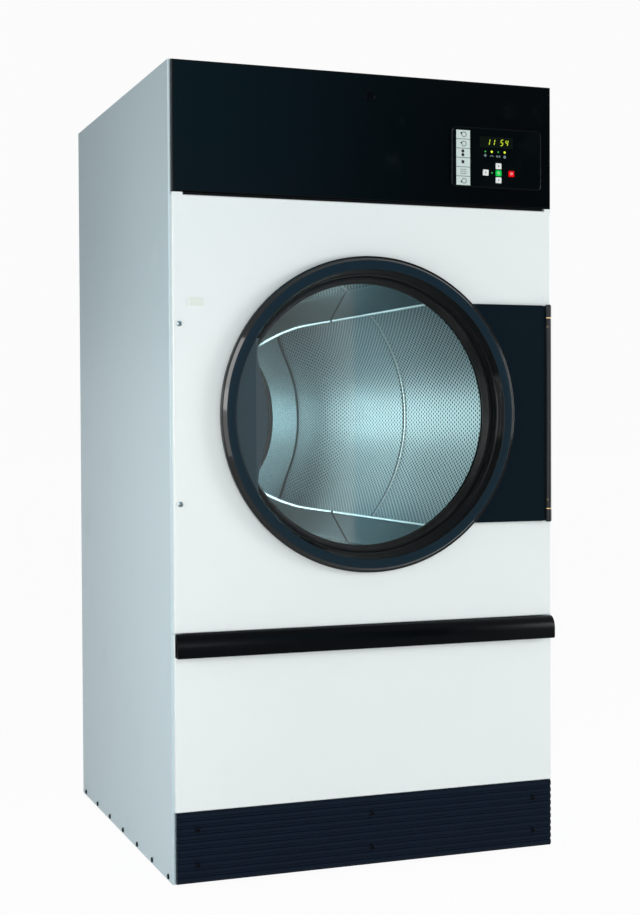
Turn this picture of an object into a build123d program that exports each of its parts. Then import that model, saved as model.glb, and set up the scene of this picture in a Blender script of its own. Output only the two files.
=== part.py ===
from build123d import *
from math import acos, atan2, cos, hypot, radians, sin
import os

os.makedirs("parts", exist_ok=True)

# All sizes are in mm: X is the width, Y runs to the back, Z is up and the floor is Z 0.
# The drum, which the cabinet is built around.
drum_r = 468.0
drum_len = 810.2
drum_wall = 1.6
lifter_h = 104.0
lifter_half_w = 21.0
lifter_wall = 1.5
lifter_end_gap = 8.0
lifter_angles = (50.0, 130.0, 230.0, 310.0)
spider_hub_r = 70.0
spider_hub_h = 30.0
spider_arm_w = 60.0
spider_arm_t = 14.0
shaft_r = 25.0
# Room that the drum keeps to the cabinet.
drum_side_gap = 17.7
drum_over_drawer = 33.1
drum_under_panel = 35.9
drum_back_gap = 42.8
drum_front_gap = 7.0
# Sheet metal and the clearances of pieces that seat, run or pass.
sheet = 1.5
bend = 4.0
seat = 0.2
run_gap = 0.05
swing_gap = 0.3
hole_gap = 0.2
pin_play = 0.08
side_lip = 25.0
top_lip = 35.0
foot_lift = 10.0
# The base frame.
frame_h = 60.0
frame_lip = 45.0
frame_t = 2.5
tube_w = 40.0
tube_h = 40.0
foot_plate_w = 84.0
foot_plate_d = 104.0
foot_plate_t = 6.0
foot_inset_x = 49.0
foot_inset_y = 61.0
foot_pad_r = 22.0
foot_pad_h = 8.0
foot_stud_r = 6.0
foot_stud_len = 55.0
foot_play = 0.3
# The front plates, which stand in front of the side panels' corners.
face_out = 14.0
face_inset = 5.0
face_bend = 3.0
kick_inset = 6.5
kick_gap = 3.0
kick_h = 163.5
drawer_gap = 1.5
drawer_h = 409.0
panel_gap = 3.0
control_h = 304.8
control_top_gap = 2.0
tab_left_w = 24.5
tab_right_w = 17.5
tab_rise = 5.2
# The plinth's pressed ribs.
rib_count = 10
rib_rise = 2.5
rib_top = 8.0
rib_slope = 2.0
# The door, outwards from its glass.
ring_r = 375.5
ring_rim_w = 11.5
ring_flat_w = 20.0
ring_h = 16.0
ring_wall = 3.0
cone_run = 17.0
cone_end = 2.0
cone_step_d = -19.0
door_stand = 4.0
plate_thick = 6.0
plate_half_h = 266.5
plate_lift = 2.0
plate_corner = 9.0
glass_step = 9.0
glass_thick = 6.0
glass_seat_d = 22.0
seal_w = 15.0
seal_back = 4.0
gasket_w = 14.0
gasket_step = 7.0
# The crescent pull inside the ring's left edge.
handle_half_h = 184.0
handle_drop = 8.0
handle_thick = 6.0
handle_sink = 5.0
handle_mid_w = 84.0
handle_end_w = 60.0
handle_waist_w = 55.0
handle_shoulder_w = 65.0
handle_fold_w = 51.0
handle_fold_back = 11.0
handle_shadow = 1.2
handle_shadow_d = 2.5
# The door hinge.
hinge_inset = 17.0
barrel_r = 7.0
pin_r = 4.0
pin_head = 2.0
post_t = 2.0
ear_h = 29.5
ear_rim = 0.5
washer_h = 2.0
plate_hinge_gap = 9.5
leaf_gap = 26.5
leaf_t = 2.5
# The loading collar, its felt and the catches.
throat_step = 1.0
throat_d = 45.0
throat_wall = 2.0
throat_round = 6.0
felt_w = 16.0
felt_lap = 9.0
mouth_step = 13.0
magnet_w = 16.0
magnet_t = 9.0
magnet_len = 50.0
magnet_angle = 20.0
front_screw_inset = 15.0
front_screw_rise = 206.0
# The wall behind the drum with its bearings, and the two belt stages behind it.
wall_t = 3.0
wall_space = 84.0
wall_vent_r = 40.0
wall_vent_inset = 138.0
wall_vents = 8
bearing_r = 45.0
bearing_w = 20.0
bearing_lip = 4.0
housing_len = 128.0
housing_r = 62.0
housing_flange_r = 150.0
housing_flange_t = 10.0
housing_ribs = 6
rib_t = 10.0
drum_pulley_r = 280.0
jack_small_r = 40.0
jack_large_r = 160.0
motor_pulley_r = 40.0
pulley_w = 34.0
pulley_rim = 8.0
pulley_web = 4.5
pulley_hub_r = 55.0
pulley_hole_r = 62.0
pulley_hole_at = 160.0
jack_hub_r = 34.0
jack_inset = 50.0
jack_drop = 330.0
jack_axle_r = 15.0
jack_boss_r = 26.0
jack_cap_r = 22.0
belt_w = 12.0
belt_t = 8.0
belt_gap = 0.4
belt_step = 65.0
belt_to_guard = 45.0
# The guard over the belts and the back sheet.
guard_reach = 140.0
guard_room = 35.0
guard_foot = 17.0
guard_rim = 15.0
guard_bend = 10.0
guard_vent_h = 12.0
guard_vent_pitch = 90.0
guard_vent_edge = 90.0
back_inset = 3.0
back_vent_h = 9.0
back_vent_pitch = 34.0
back_vents = 7
back_vent_rise = 85.0
# The motor, the fan and the exhaust.
motor_x = -60.0
motor_r = 92.0
motor_len = 155.0
motor_shaft_r = 12.0
motor_foot_h = 10.0
motor_gap = 15.0
stand_w = 160.0
stand_t = 3.0
scroll_r = 210.0
scroll_d = 120.0
scroll_leg_x = 90.0
scroll_leg_w = 24.0
fan_r = 130.0
fan_d = 87.0
fan_inset = 22.0
fan_plate = 3.0
fan_ring_w = 32.0
fan_blade_len = 51.0
fan_blades = 12
outlet_gap = 6.6
duct_r = 101.6
duct_wall = 1.2
duct_step = 4.0
duct_side = 139.0
collar_len = 60.0
collar_rim = 7.0
collar_room = 40.0
# The heater over the drum.
hood_half_w = 240.0
hood_len = 330.0
hood_gap = 15.0
hood_h = 43.0
hood_rim = 25.0
hood_over_drum = 50.7
louvre_w = 30.0
louvre_h = 6.0
louvre_pitch = 46.0
rod_r = 6.0
rod_count = 3
rod_pitch = 75.0
rod_inset = 80.0
rod_plate_h = 36.0
# The lint drawer with its pull.
tray_side = 59.0
tray_len = 440.0
tray_low = 47.0
tray_high = 62.0
tray_ledge = 18.0
screen_rim = 22.0
screen_h = 8.0
screen_bars = 4
screen_bar_w = 6.0
rail_rise = 107.0
rail_h = 27.0
rail_gap = 0.5
rail_lip_gap = 2.0
rail_lap = 10.0
pull_reach = 22.0
pull_h = 51.0
pull_wall = 2.8
pull_lip = 6.5
pull_flange = 26.0
pull_drop = 2.0
pull_round = 12.0
pull_low_round = 5.0
# The control panel with its long hinge, lock and key module.
knuckles = 11
knuckle_r = 3.0
knuckle_pin_r = 1.5
knuckle_left = 28.0
knuckle_right = 23.0
knuckle_sink = 2.0
compartment_d = 300.0
compartment_rise = 8.8
lock_drop = 53.5
lock_r = 13.5
lock_rise = 2.6
lock_neck_r = 10.0
lock_nut_r = 14.0
plug_r = 7.0
cam_len = 30.0
cam_t = 2.5
bezel_side = 33.0
bezel_w = 244.0
bezel_h = 146.0
bezel_low = 45.8
bezel_r = 12.0
bezel_rise = 4.0
bezel_lap = 10.0
bezel_wall = 2.0
shelf_d = 5.0
display_left = 76.0
display_low = 99.0
display_w = 90.0
display_h = 27.0
display_t = 1.0
button_w = 15.5
button_h = 14.5
button_rise = 1.5
button_gap = 0.3
button_rim = 0.9
button_travel = 1.0
button_row = 38.0
button_pitch_x = 34.8
button_pitch_z = 17.0
button_first = 91.8
# Screws, and the supply box on the back.
screw_head_r = 6.5
screw_head_h = 3.2
screw_shank_r = 2.5
screw_len = 7.0
side_screw_first = 38.4
side_screw_pitch = 151.4
side_screw_z = 10.0
kick_screw_inset = 50.0
entry_r = 16.5
entry_wall = 8.0
entry_len = 28.0
supply_w = 190.0
supply_d = 75.0
supply_h = 140.0
supply_side = 49.0
supply_rise = 105.0
supply_wall = 2.0

# Depths behind the plane of the side panels' front corners.
ring_base = -(face_out + door_stand + plate_thick)
front_reach = ring_h - ring_base
hinge_d = -(face_out + seat + post_t + swing_gap + barrel_r)
glass_d = cone_end + glass_seat_d
drum_front = throat_d + drum_front_gap
drum_back_d = drum_front + drum_len
wall_d = drum_back_d + drum_back_gap
cab_d = wall_d + wall_t + wall_space
drum_belt_d = cab_d + guard_reach - belt_to_guard
motor_belt_d = drum_belt_d - belt_step
motor_d = wall_d - motor_gap - motor_len
scroll_front = motor_d - motor_gap - scroll_d
# Heights above the cabinet's bottom edge.
kick_top = kick_gap + kick_h
drawer_z0 = kick_top + drawer_gap
drawer_z1 = drawer_z0 + drawer_h
panel_z0 = drawer_z1 + panel_gap
door_z = drawer_z1 + drum_over_drawer + drum_r + drum_wall
panel_hinge_z = door_z + drum_r + drum_wall + drum_under_panel
cab_h = panel_hinge_z + control_h
duct_half = duct_r + duct_step
duct_z = frame_h + seat + duct_half
guard_z0 = duct_z + duct_r + collar_room + guard_rim
guard_z1 = door_z + drum_pulley_r + guard_room
motor_z = guard_z0 + guard_foot + motor_pulley_r
outlet_h = duct_z + duct_half - outlet_gap - motor_z + scroll_r
# Widths and radii.
half_w = drum_r + drum_wall + drum_side_gap + seat + sheet
inner_w = half_w - sheet - seat
face_x = half_w - face_inset
kick_x = half_w - kick_inset
ring_flat_out = ring_r - ring_rim_w
ring_flat_in = ring_flat_out - ring_flat_w
cone_r = ring_flat_in - cone_run
glass_r = cone_r - glass_step
throat_r = ring_flat_in + throat_step
mouth_r = throat_r + mouth_step
hinge_x = half_w - hinge_inset
duct_x = half_w - duct_side
jack_x = jack_inset - drum_pulley_r
guard_x0 = jack_x - jack_large_r - guard_room
guard_x1 = drum_pulley_r + guard_room
tray_half_w = half_w - tray_side
bezel_x1 = half_w - bezel_side
bezel_x0 = bezel_x1 - bezel_w
# Places in the part's own frame, whose origin lies on the floor under the middle.
overall_d = front_reach + cab_d + guard_reach
y0 = front_reach - overall_d / 2
y_face = y0 - face_out
y_rear = y0 + cab_d
y_back = y_rear + seat + sheet
y_drum_belt = y0 + drum_belt_d
y_motor_belt = y0 + motor_belt_d
zb = foot_lift
z_top = zb + cab_h
axis_z = zb + door_z
jack_z = axis_z - jack_drop
fan_z = zb + motor_z
hinge_y = y0 + hinge_d
hinge_za = axis_z + plate_lift - plate_half_h
hinge_zc = axis_z + plate_lift + plate_half_h
panel_axis_y = y_face + knuckle_sink
panel_axis_z = zb + panel_hinge_z
front_top = panel_axis_z - knuckle_r - seat
bezel_za = panel_axis_z + bezel_low
rail_z0 = zb + drawer_z0 + tray_low + rail_rise
rail_z1 = rail_z0 + rail_h
foot_x = half_w - foot_inset_x
foot_rows = (y0 + foot_inset_y, y_rear - foot_inset_y)
foot_spots = [(x, y) for y in foot_rows for x in (-foot_x, foot_x)]
side_screw_ys = [y0 + side_screw_first]
while side_screw_ys[-1] + side_screw_pitch < y_rear - side_lip:
    side_screw_ys.append(side_screw_ys[-1] + side_screw_pitch)
parts = {}


def block(xa, xb, ya, yb, za, zc):
    # A box from its two corners.
    return Pos((xa + xb) / 2, (ya + yb) / 2, (za + zc) / 2) * Box(xb - xa, yb - ya, zc - za)


def rod_x(y, z, r, xa, xb):
    return Pos((xa + xb) / 2, y, z) * Rot(0, 90, 0) * Cylinder(r, xb - xa)


def rod_y(x, z, r, ya, yb):
    return Pos(x, (ya + yb) / 2, z) * Rot(90, 0, 0) * Cylinder(r, yb - ya)


def rod_z(x, y, r, za, zc):
    return Pos(x, y, (za + zc) / 2) * Cylinder(r, zc - za)


def turned(points, x, z):
    # A profile of radius and depth spun about the depth axis.
    face = make_face(Polyline(*points, close=True))
    return Pos(x, 0, z) * revolve(face, Axis.Y)


def along_x(face, xa, xb):
    # A face of depth and height drawn out along the width.
    return Pos(xa, 0, 0) * extrude(Plane.YZ * face, xb - xa, dir=(1, 0, 0))


def along_z(points, za, zc):
    # A profile of width and depth drawn out along the height.
    face = make_face(Polyline(*points, close=True))
    return Pos(0, 0, za) * extrude(face, zc - za, dir=(0, 0, 1))


def pan(xa, xb, ya, yb, za, zc, t, r):
    # A shallow folded tray with its flat side to the front.
    outer = block(xa, xb, ya, yb, za, zc)
    outer = fillet(outer.faces().sort_by(Axis.Y)[0].edges(), r)
    inner = block(xa + t, xb - t, ya + t, yb + t, za + t, zc - t)
    inner = fillet(inner.faces().sort_by(Axis.Y)[0].edges(), r - t)
    return outer - inner


def shell_box(xa, xb, ya, yb, za, zc, t):
    # A closed sheet box.
    return block(xa, xb, ya, yb, za, zc) - block(xa + t, xb - t, ya + t, yb - t, za + t, zc - t)


def slab(xa, xb, ya, yb, za, zc, r):
    # A flat plate facing the front with rounded corners.
    plate = block(xa, xb, ya, yb, za, zc)
    return fillet(plate.edges().filter_by(Axis.Y), r)


def screw():
    # A pan head screw with its seat at the origin and its head towards minus Y.
    r = screw_head_r
    h = screw_head_h
    lift = seat / 2
    head = [(0, -h), (r * 0.62, -h), (r * 0.9, -h * 0.7), (r, -lift), (screw_shank_r, -lift)]
    shank = [(screw_shank_r, screw_len), (0, screw_len)]
    return turned(head + shank, 0, 0)


def base_frame():
    # Channel frame with foot plates, three cross tubes and the motor stand.
    ya = y0 + bend + seat
    yb = y_rear - bend - seat
    t = frame_t
    top = zb + frame_h
    lip = frame_lip
    frame = block(-inner_w, inner_w, ya, yb, zb, top)
    frame -= block(-inner_w + lip, inner_w - lip, ya + lip, yb - lip, 0, top + t)
    frame -= block(-inner_w + t, inner_w - t, ya + t, yb - t, zb + t, top - t)
    stand_a = y0 + motor_d + motor_gap
    stand_b = y0 + wall_d - motor_gap - motor_foot_h
    leg_mid = y0 + scroll_front + scroll_d / 2
    for y in (leg_mid, stand_a + tube_w / 2, stand_b - tube_w / 2):
        ta = y - tube_w / 2
        tb = y + tube_w / 2
        tube = block(-inner_w + t, inner_w - t, ta, tb, top - tube_h, top)
        tube -= block(-inner_w, inner_w, ta + t, tb - t, top - tube_h + t, top - t)
        frame += tube
    stand_z = fan_z - motor_r - motor_foot_h
    w = stand_w / 2
    stand = block(motor_x - w, motor_x + w, stand_a, stand_b, top - t, stand_z)
    w -= stand_t
    stand -= block(motor_x - w, motor_x + w, stand_a - t, stand_b + t, top, stand_z - stand_t)
    frame += stand
    w = foot_plate_w / 2
    h = foot_plate_d / 2
    for x, y in foot_spots:
        frame += block(x - w, x + w, y - h, y + h, zb + t - seat, zb + t + foot_plate_t)
    for x, y in foot_spots:
        frame -= rod_z(x, y, foot_stud_r + foot_play, 0, top - t)
    for y in side_screw_ys:
        frame -= rod_x(y, zb + side_screw_z, screw_shank_r + hole_gap, -half_w, half_w)
    return frame


def side_panel():
    # Right hand sheet with a lip folded in at the front and the back.
    xi = half_w - sheet
    xl = half_w - side_lip
    pts = [(xl, y0), (half_w, y0), (half_w, y_rear), (xl, y_rear)]
    pts += [(xl, y_rear - sheet), (xi, y_rear - sheet), (xi, y0 + sheet), (xl, y0 + sheet)]
    face = make_face(Polyline(*pts, close=True))
    face = fillet(face.vertices().group_by(Axis.X)[-1], bend)
    inner = [v for v in face.vertices() if abs(v.X - xi) < seat]
    face = fillet(inner, bend - sheet)
    wall = Pos(0, 0, zb) * extrude(face, cab_h, dir=(0, 0, 1))
    for y in side_screw_ys:
        wall -= rod_x(y, zb + side_screw_z, screw_shank_r + hole_gap, xl, half_w + sheet)
    return wall


def top_panel():
    # Lid between the side panels, with the hole for the heater housing.
    ya = y0 + bend + seat
    yb = y_rear - bend - seat
    t = sheet
    low = z_top - top_lip
    lid = block(-inner_w, inner_w, ya, yb, low, z_top)
    lid -= block(-inner_w + t, inner_w - t, ya + t, yb - t, low - t, z_top - t)
    x = hood_half_w + seat
    hood_b = y0 + wall_d - hood_gap
    lid -= block(-x, x, hood_b - hood_len - seat, hood_b + seat, low, z_top + t)
    return lid


def heater_housing():
    # Sheet box hung through the lid, louvred above it and open to the drum below.
    t = sheet
    top = z_top + hood_h
    za = axis_z + drum_r + drum_wall + hood_over_drum
    yb = y0 + wall_d - hood_gap
    ya = yb - hood_len
    x = hood_half_w
    r = hood_rim
    box = block(-x, x, ya, yb, za, top)
    box = fillet(box.faces().sort_by(Axis.Z)[-1].edges(), bend)
    flange = block(-x - r, x + r, ya - r, yb + r, z_top + seat, z_top + seat + t)
    box = box + flange - block(-x + t, x - t, ya + t, yb - t, za - t, top - t)
    count = int((hood_len - louvre_w) / louvre_pitch)
    first = (ya + yb - (count - 1) * louvre_pitch - louvre_w) / 2
    for n in range(count):
        y = first + n * louvre_pitch
        for z in (z_top + hood_h / 3, z_top + hood_h * 2 / 3):
            box -= block(-x - t, x + t, y, y + louvre_w, z, z + louvre_h)
    return box


def heater_elements():
    # Hairpin rods held in the right wall of the heater housing.
    za = axis_z + drum_r + drum_wall + hood_over_drum
    yb = y0 + wall_d - hood_gap - rod_inset
    ya = y0 + wall_d - hood_gap - hood_len + rod_inset
    end = hood_half_w - sheet - seat
    bow = rod_inset - hood_half_w
    h = rod_plate_h / 2
    hairpins = []
    for n in range(rod_count):
        z = za + rod_pitch * (n + 0.8)
        pin = rod_x(ya, z, rod_r, bow, end) + rod_x(yb, z, rod_r, bow, end)
        pin += rod_y(bow, z, rod_r, ya - rod_r, yb + rod_r)
        pin += block(end - 2 * sheet, end, ya - h, yb + h, z - h, z + h)
        hairpins.append(pin)
    return Compound(children=hairpins)


def rear_bulkhead():
    # Thick wall behind the drum: shaft hole, air holes, duct notch and the fixed axle of the jack wheel.
    ya = y0 + wall_d
    yb = ya + wall_t
    wall = block(-inner_w, inner_w, ya, yb, zb + frame_h + seat, z_top - top_lip - seat)
    wall -= rod_y(0, axis_z, bearing_r + wall_t, ya - seat, yb + seat)
    wall -= rod_y(motor_x, fan_z, motor_shaft_r + motor_foot_h, ya - seat, yb + seat)
    half = duct_half + seat
    wall -= block(duct_x - half, duct_x + half, ya - seat, yb + seat, 0, zb + duct_z + half)
    for n in range(wall_vents):
        a = radians(180 * (n + 1) / (wall_vents + 1))
        r = drum_r - wall_vent_inset
        wall -= rod_y(r * cos(a), axis_z + r * sin(a), wall_vent_r, ya - seat, yb + seat)
    step = y_motor_belt - pulley_w / 2 - washer_h
    end = y_drum_belt + pulley_w / 2 + washer_h
    axle = rod_y(jack_x, jack_z, jack_boss_r, yb - seat, step)
    axle += rod_y(jack_x, jack_z, jack_axle_r, step - seat, end)
    axle += rod_y(jack_x, jack_z, jack_cap_r, end - seat, end + bend)
    return wall + axle


def rear_cover():
    # Back sheet with the holes for the drive, the exhaust and the ventilation slots.
    ya = y_rear + seat
    yb = y_back
    x = half_w - back_inset
    plate = block(-x, x, ya, yb, zb + back_inset, z_top - back_inset)
    r = guard_rim + sheet
    za = zb + guard_z0 + r
    zc = zb + guard_z1 - r
    plate -= block(guard_x0 + r, guard_x1 - r, ya - seat, yb + seat, za, zc)
    plate -= rod_y(duct_x, zb + duct_z, duct_r + duct_wall + hole_gap, ya - seat, yb + seat)
    first = zb + guard_z1 + back_vent_rise
    for n in range(back_vents):
        z = first + n * back_vent_pitch
        plate -= block(motor_x, x - guard_vent_edge, ya - seat, yb + seat, z, z + back_vent_h)
    return plate


def drive_guard():
    # Deep folded cover over the belts, slotted and flanged.
    ya = y_back + seat
    yb = y_rear + guard_reach
    za = zb + guard_z0
    zc = zb + guard_z1
    t = sheet
    box = block(guard_x0, guard_x1, ya, yb, za, zc)
    box = fillet(box.faces().sort_by(Axis.Y)[-1].edges(), guard_bend)
    r = guard_rim
    box += block(guard_x0 - r, guard_x1 + r, ya, ya + t, za - r, zc + r)
    room = block(guard_x0 + t, guard_x1 - t, ya - t, yb - t, za + t, zc - t)
    box -= fillet(room.faces().sort_by(Axis.Y)[-1].edges(), guard_bend - t)
    mid = (guard_x0 + guard_x1) / 2
    left = (guard_x0 + guard_vent_edge, mid - guard_room)
    right = (mid + guard_room, guard_x1 - guard_vent_edge)
    z = za + guard_vent_pitch
    while z < zc - guard_vent_pitch:
        for xa, xb in (left, right):
            box -= block(xa, xb, yb - t - seat, yb + seat, z, z + guard_vent_h)
        z += guard_vent_pitch
    return box


def front_panel():
    # White front with the drawn loading collar, and a small tab at each top corner.
    x = face_x
    f = y_face
    plate = pan(-x, x, f, y0 - seat, zb + panel_z0, front_top, sheet, face_bend)
    r = throat_r
    e = throat_round
    plate -= rod_y(0, axis_z, r + e, f - seat, y0)
    lip = [(r + e + seat, f), (r + e / 2, f + e * 0.08), (r + e * 0.15, f + e * 0.4), (r, f + e)]
    lip += [(r, y0 + throat_d), (r + throat_wall, y0 + throat_d), (r + throat_wall, f + e)]
    lip += [(r + e * 0.6, f + e / 2), (r + e + seat, f + sheet)]
    plate += turned(lip, 0, axis_z)
    low = front_top - bend
    high = front_top + tab_rise
    plate += block(-x + seat, -x + tab_left_w, f + seat, f + face_out - bend, low, high)
    plate += block(x - tab_right_w, x - seat, f + seat, f + face_out - bend, low, high)
    for z in front_screw_zs():
        plate -= rod_y(front_screw_inset - x, z, screw_shank_r + hole_gap, f - seat, f + bend)
    return plate


def front_screw_zs():
    mid = axis_z + plate_lift
    return (mid + front_screw_rise, mid - front_screw_rise)


def drum_seal():
    # Felt ring around the collar, next to the turning drum.
    r = throat_r + throat_wall + seat
    ya = y0 + throat_d - felt_lap
    yb = y0 + drum_front - swing_gap
    return turned([(r, ya), (r + felt_w, ya), (r + felt_w, yb), (r, yb)], 0, axis_z)


def rib_z(n):
    # Middle height of one of the plinth's ribs.
    return zb + kick_gap + kick_h * (n + 0.5) / rib_count


def kick_screw_spots():
    rows = (rib_count // 4, rib_count - 1 - rib_count // 4)
    reach = kick_x - kick_screw_inset
    return [(x, rib_z(n)) for x in (-reach, 0.0, reach) for n in rows]


def kick_plate():
    # Plinth sheet pressed into level ribs, folded back on all four sides.
    low = y_face + rib_rise
    za = zb + kick_gap
    zc = zb + kick_top
    h = rib_top / 2
    front = [(low, za)]
    for n in range(rib_count):
        z = rib_z(n)
        front += [(low, z - h - rib_slope), (y_face, z - h), (y_face, z + h), (low, z + h + rib_slope)]
    front += [(low, zc)]
    back = [(y + sheet, z) for y, z in reversed(front)]
    x = kick_x
    end = y0 - seat
    plate = along_x(make_face(Polyline(*front, *back, close=True)), -x, x)
    t = sheet
    plate += block(-x, x, low, end, za, zc) - block(-x + t, x - t, low - t, end + t, za + t, zc - t)
    for px, z in kick_screw_spots():
        plate -= rod_y(px, z, screw_shank_r + hole_gap, y_face - seat, y_face + bend)
    return plate


def cabinet_screws():
    # One kind of screw for the plinth, the front panel and both side panels.
    found = [Pos(x, y_face, z) * screw() for x, z in kick_screw_spots()]
    found += [Pos(front_screw_inset - face_x, y_face, z) * screw() for z in front_screw_zs()]
    for y in side_screw_ys:
        found.append(Pos(-half_w, y, zb + side_screw_z) * Rot(0, 0, -90) * screw())
        found.append(Pos(half_w, y, zb + side_screw_z) * Rot(0, 0, 90) * screw())
    return Compound(children=found)


def control_compartment():
    # Floor and back wall that close the control space off from the drum.
    za = panel_axis_z + compartment_rise
    zc = z_top - top_lip - seat
    ya = y0 + bend + seat
    yb = y0 + compartment_d
    tray = block(-inner_w, inner_w, ya, yb, za, za + sheet)
    return tray + block(-inner_w, inner_w, yb - sheet, yb, za, zc)


def catch_magnets():
    # Two bar magnets behind the front panel that hold the steel door plate.
    ya = y_face + sheet + seat
    r = throat_r + throat_round + throat_wall
    bars = []
    for a in (-magnet_angle, magnet_angle):
        bar = block(-r - magnet_w, -r, ya, ya + magnet_t, -magnet_len / 2, magnet_len / 2)
        bars.append(Pos(0, 0, axis_z) * Rot(0, a, 0) * bar)
    return Compound(children=bars)


def hinge_post():
    # Backing strip with an ear at each end that holds the hinge pin.
    w = barrel_r + ear_rim
    yb = y_face - seat
    post = block(hinge_x - w, hinge_x + w, yb - post_t, yb, hinge_za, hinge_zc)
    for za in (hinge_za, hinge_zc - ear_h):
        post += block(hinge_x - w, hinge_x + w, hinge_y, yb, za, za + ear_h)
        post += rod_z(hinge_x, hinge_y, w, za, za + ear_h)
    return post - rod_z(hinge_x, hinge_y, pin_r + run_gap, hinge_za - seat, hinge_zc + seat)


def hinge_pin():
    # Steel pin with a low head at each end, and the two washers beside the barrel.
    h = pin_head
    pin = rod_z(hinge_x, hinge_y, pin_r, hinge_za - h, hinge_zc + h)
    for z in (hinge_za - h, hinge_zc + seat):
        pin += rod_z(hinge_x, hinge_y, pin_r + h, z, z + h - seat)
    group = [pin]
    for z in (hinge_za + ear_h + seat / 2, hinge_zc - ear_h - seat / 2 - washer_h):
        ring = rod_z(hinge_x, hinge_y, barrel_r, z, z + washer_h)
        group.append(ring - rod_z(hinge_x, hinge_y, pin_r + pin_play, z - seat, z + washer_h + seat))
    return Compound(children=group)


def hinge_barrel():
    # Tube that turns on the pin, with the leaf that carries the door plate.
    gap = ear_h + washer_h + swing_gap
    za = hinge_za + gap
    zc = hinge_zc - gap
    leaf_y = y0 + ring_base + sheet + seat
    tube = rod_z(hinge_x, hinge_y, barrel_r, za, zc)
    tube += block(ring_r + leaf_gap, hinge_x, leaf_y, leaf_y + leaf_t, za + bend, zc - bend)
    return tube - rod_z(hinge_x, hinge_y, pin_r + pin_play, za - seat, zc + seat)


def door_plate():
    # Steel plate behind the ring, drawn out to the hinge and folded back at its rim.
    ya = y0 + ring_base
    yb = ya + plate_thick
    t = sheet
    r = ring_r - t / 2
    edge = hinge_x - plate_hinge_gap
    tail = slab(0, edge, ya, yb, hinge_za, hinge_zc, plate_corner)
    body = rod_y(0, axis_z, r, ya, yb) + tail
    hollow = rod_y(0, axis_z, r - t, ya + t, yb + t)
    hollow += block(0, edge + t, ya + t, yb + t, hinge_za + t, hinge_zc - t)
    hole = rod_y(0, axis_z, ring_flat_in - t, ya - t, yb + t)
    rim = rod_y(0, axis_z, ring_flat_in, ya, yb)
    return body - hollow + rim - hole


def cone_at(d):
    # Radius of the ring's inner cone at a depth.
    share = (d + front_reach) / (cone_end + front_reach)
    return ring_flat_in - cone_run * share


def door_ring():
    # Moulded ring: bevelled rim, flat face and a deep stepped cone in to the glass.
    f = y0 - front_reach
    b = y0 + ring_base - seat
    c = y0 + cone_end
    w = ring_wall
    s = cone_step_d
    soft = ring_h / 10
    outside = [(ring_r, b), (ring_r, b - w), (ring_r - w / 2, b - 2 * w), (ring_flat_out + w, f + soft)]
    outside += [(ring_flat_out, f), (ring_flat_in + soft, f), (cone_at(soft - front_reach), f + soft)]
    outside += [(cone_at(s), y0 + s), (cone_at(s) - w * 0.6, y0 + s + w * 0.2)]
    outside += [(cone_at(s + w) - w * 0.7, y0 + s + w), (cone_r, c)]
    inside = [(cone_r + w, c), (ring_flat_in + w, f + w + soft), (ring_flat_out - w / 2, f + w)]
    inside += [(ring_r - w * 1.3, b - w * 1.5), (ring_r - w * 1.2, b)]
    return turned(outside + inside, 0, axis_z)


def door_glass():
    # Flat round pane with softened edges.
    g = y0 + glass_d
    r = glass_r
    t = glass_thick
    e = t / 6
    edge = [(r - e, g), (r, g + e), (r, g + t - e), (r - e, g + t)]
    return turned([(0, g)] + edge + [(0, g + t)], 0, axis_z)


def glass_seal():
    # Rubber section that grips the glass and sits behind the ring.
    a = y0 + cone_end + seat
    g = y0 + glass_d
    h = glass_d - cone_end
    b = g + glass_thick + seat
    r = glass_r
    n = seal_back
    pts = [(r + n, a), (r + n * 0.8, a + h * 0.08), (r + n * 0.9, a + h * 0.16), (r + n / 2, a + h * 0.28)]
    pts += [(r - n, a + h * 0.75), (r - n * 1.15, a + h * 0.86), (r - n, g - seat), (r + seat, g - seat)]
    pts += [(r + seat, b), (r - n, b), (r - n, b + n), (r + seal_w - n, b + n)]
    pts += [(r + seal_w, g), (r + seal_w, a)]
    return turned(pts, 0, axis_z)


def door_gasket():
    # Soft ring on the back of the plate that meets the front panel.
    ya = y0 + ring_base + sheet + seat
    yb = y_face - swing_gap
    r = ring_flat_in + gasket_step
    w = gasket_w
    pts = [(r, ya), (r + w, ya), (r + w, ya + bend), (r + w * 0.7, yb), (r + w * 0.3, yb), (r, ya + bend)]
    return turned(pts, 0, axis_z)


def door_handle():
    # Moulded crescent inside the ring's left edge, folded back towards its gripping edge.
    mid = axis_z - handle_drop
    h = handle_half_h
    steps = ((handle_end_w, 1), (handle_waist_w, 0.82), (handle_shoulder_w, 0.53), (handle_mid_w, 0))
    upper = [(w - ring_flat_in, h * k) for w, k in steps]
    lower = [(x, -z) for x, z in reversed(upper[:-1])]
    outer = -ring_r
    edge = Spline(*upper, *lower)
    rest = Polyline(lower[-1], (outer, -h), (outer, h), upper[0])
    outline = Plane.XZ * make_face(edge + rest)
    prism = Pos(0, 0, mid) * extrude(outline, overall_d, both=True)
    f = y0 - front_reach + handle_sink
    t = handle_thick
    fold = handle_fold_w - ring_flat_in
    tip = handle_mid_w + t - ring_flat_in
    back = f + handle_fold_back
    section = [(outer, f), (fold, f), (tip, back), (tip, back + t), (fold - t / 2, f + t), (outer, f + t)]
    bent = along_z(section, mid - h, mid + h)
    a = handle_sink - front_reach
    b = a + handle_shadow_d
    c = a + handle_fold_back + 2 * t
    rings = [(0, a - seat), (cone_at(a - seat) - handle_shadow, a - seat), (cone_at(b) - handle_shadow, b)]
    rings += [(cone_at(b) - seat, b), (cone_at(c) - seat, c), (0, c)]
    cone = turned([(r, y0 + d) for r, d in rings], 0, axis_z)
    return prism & bent & cone


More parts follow.
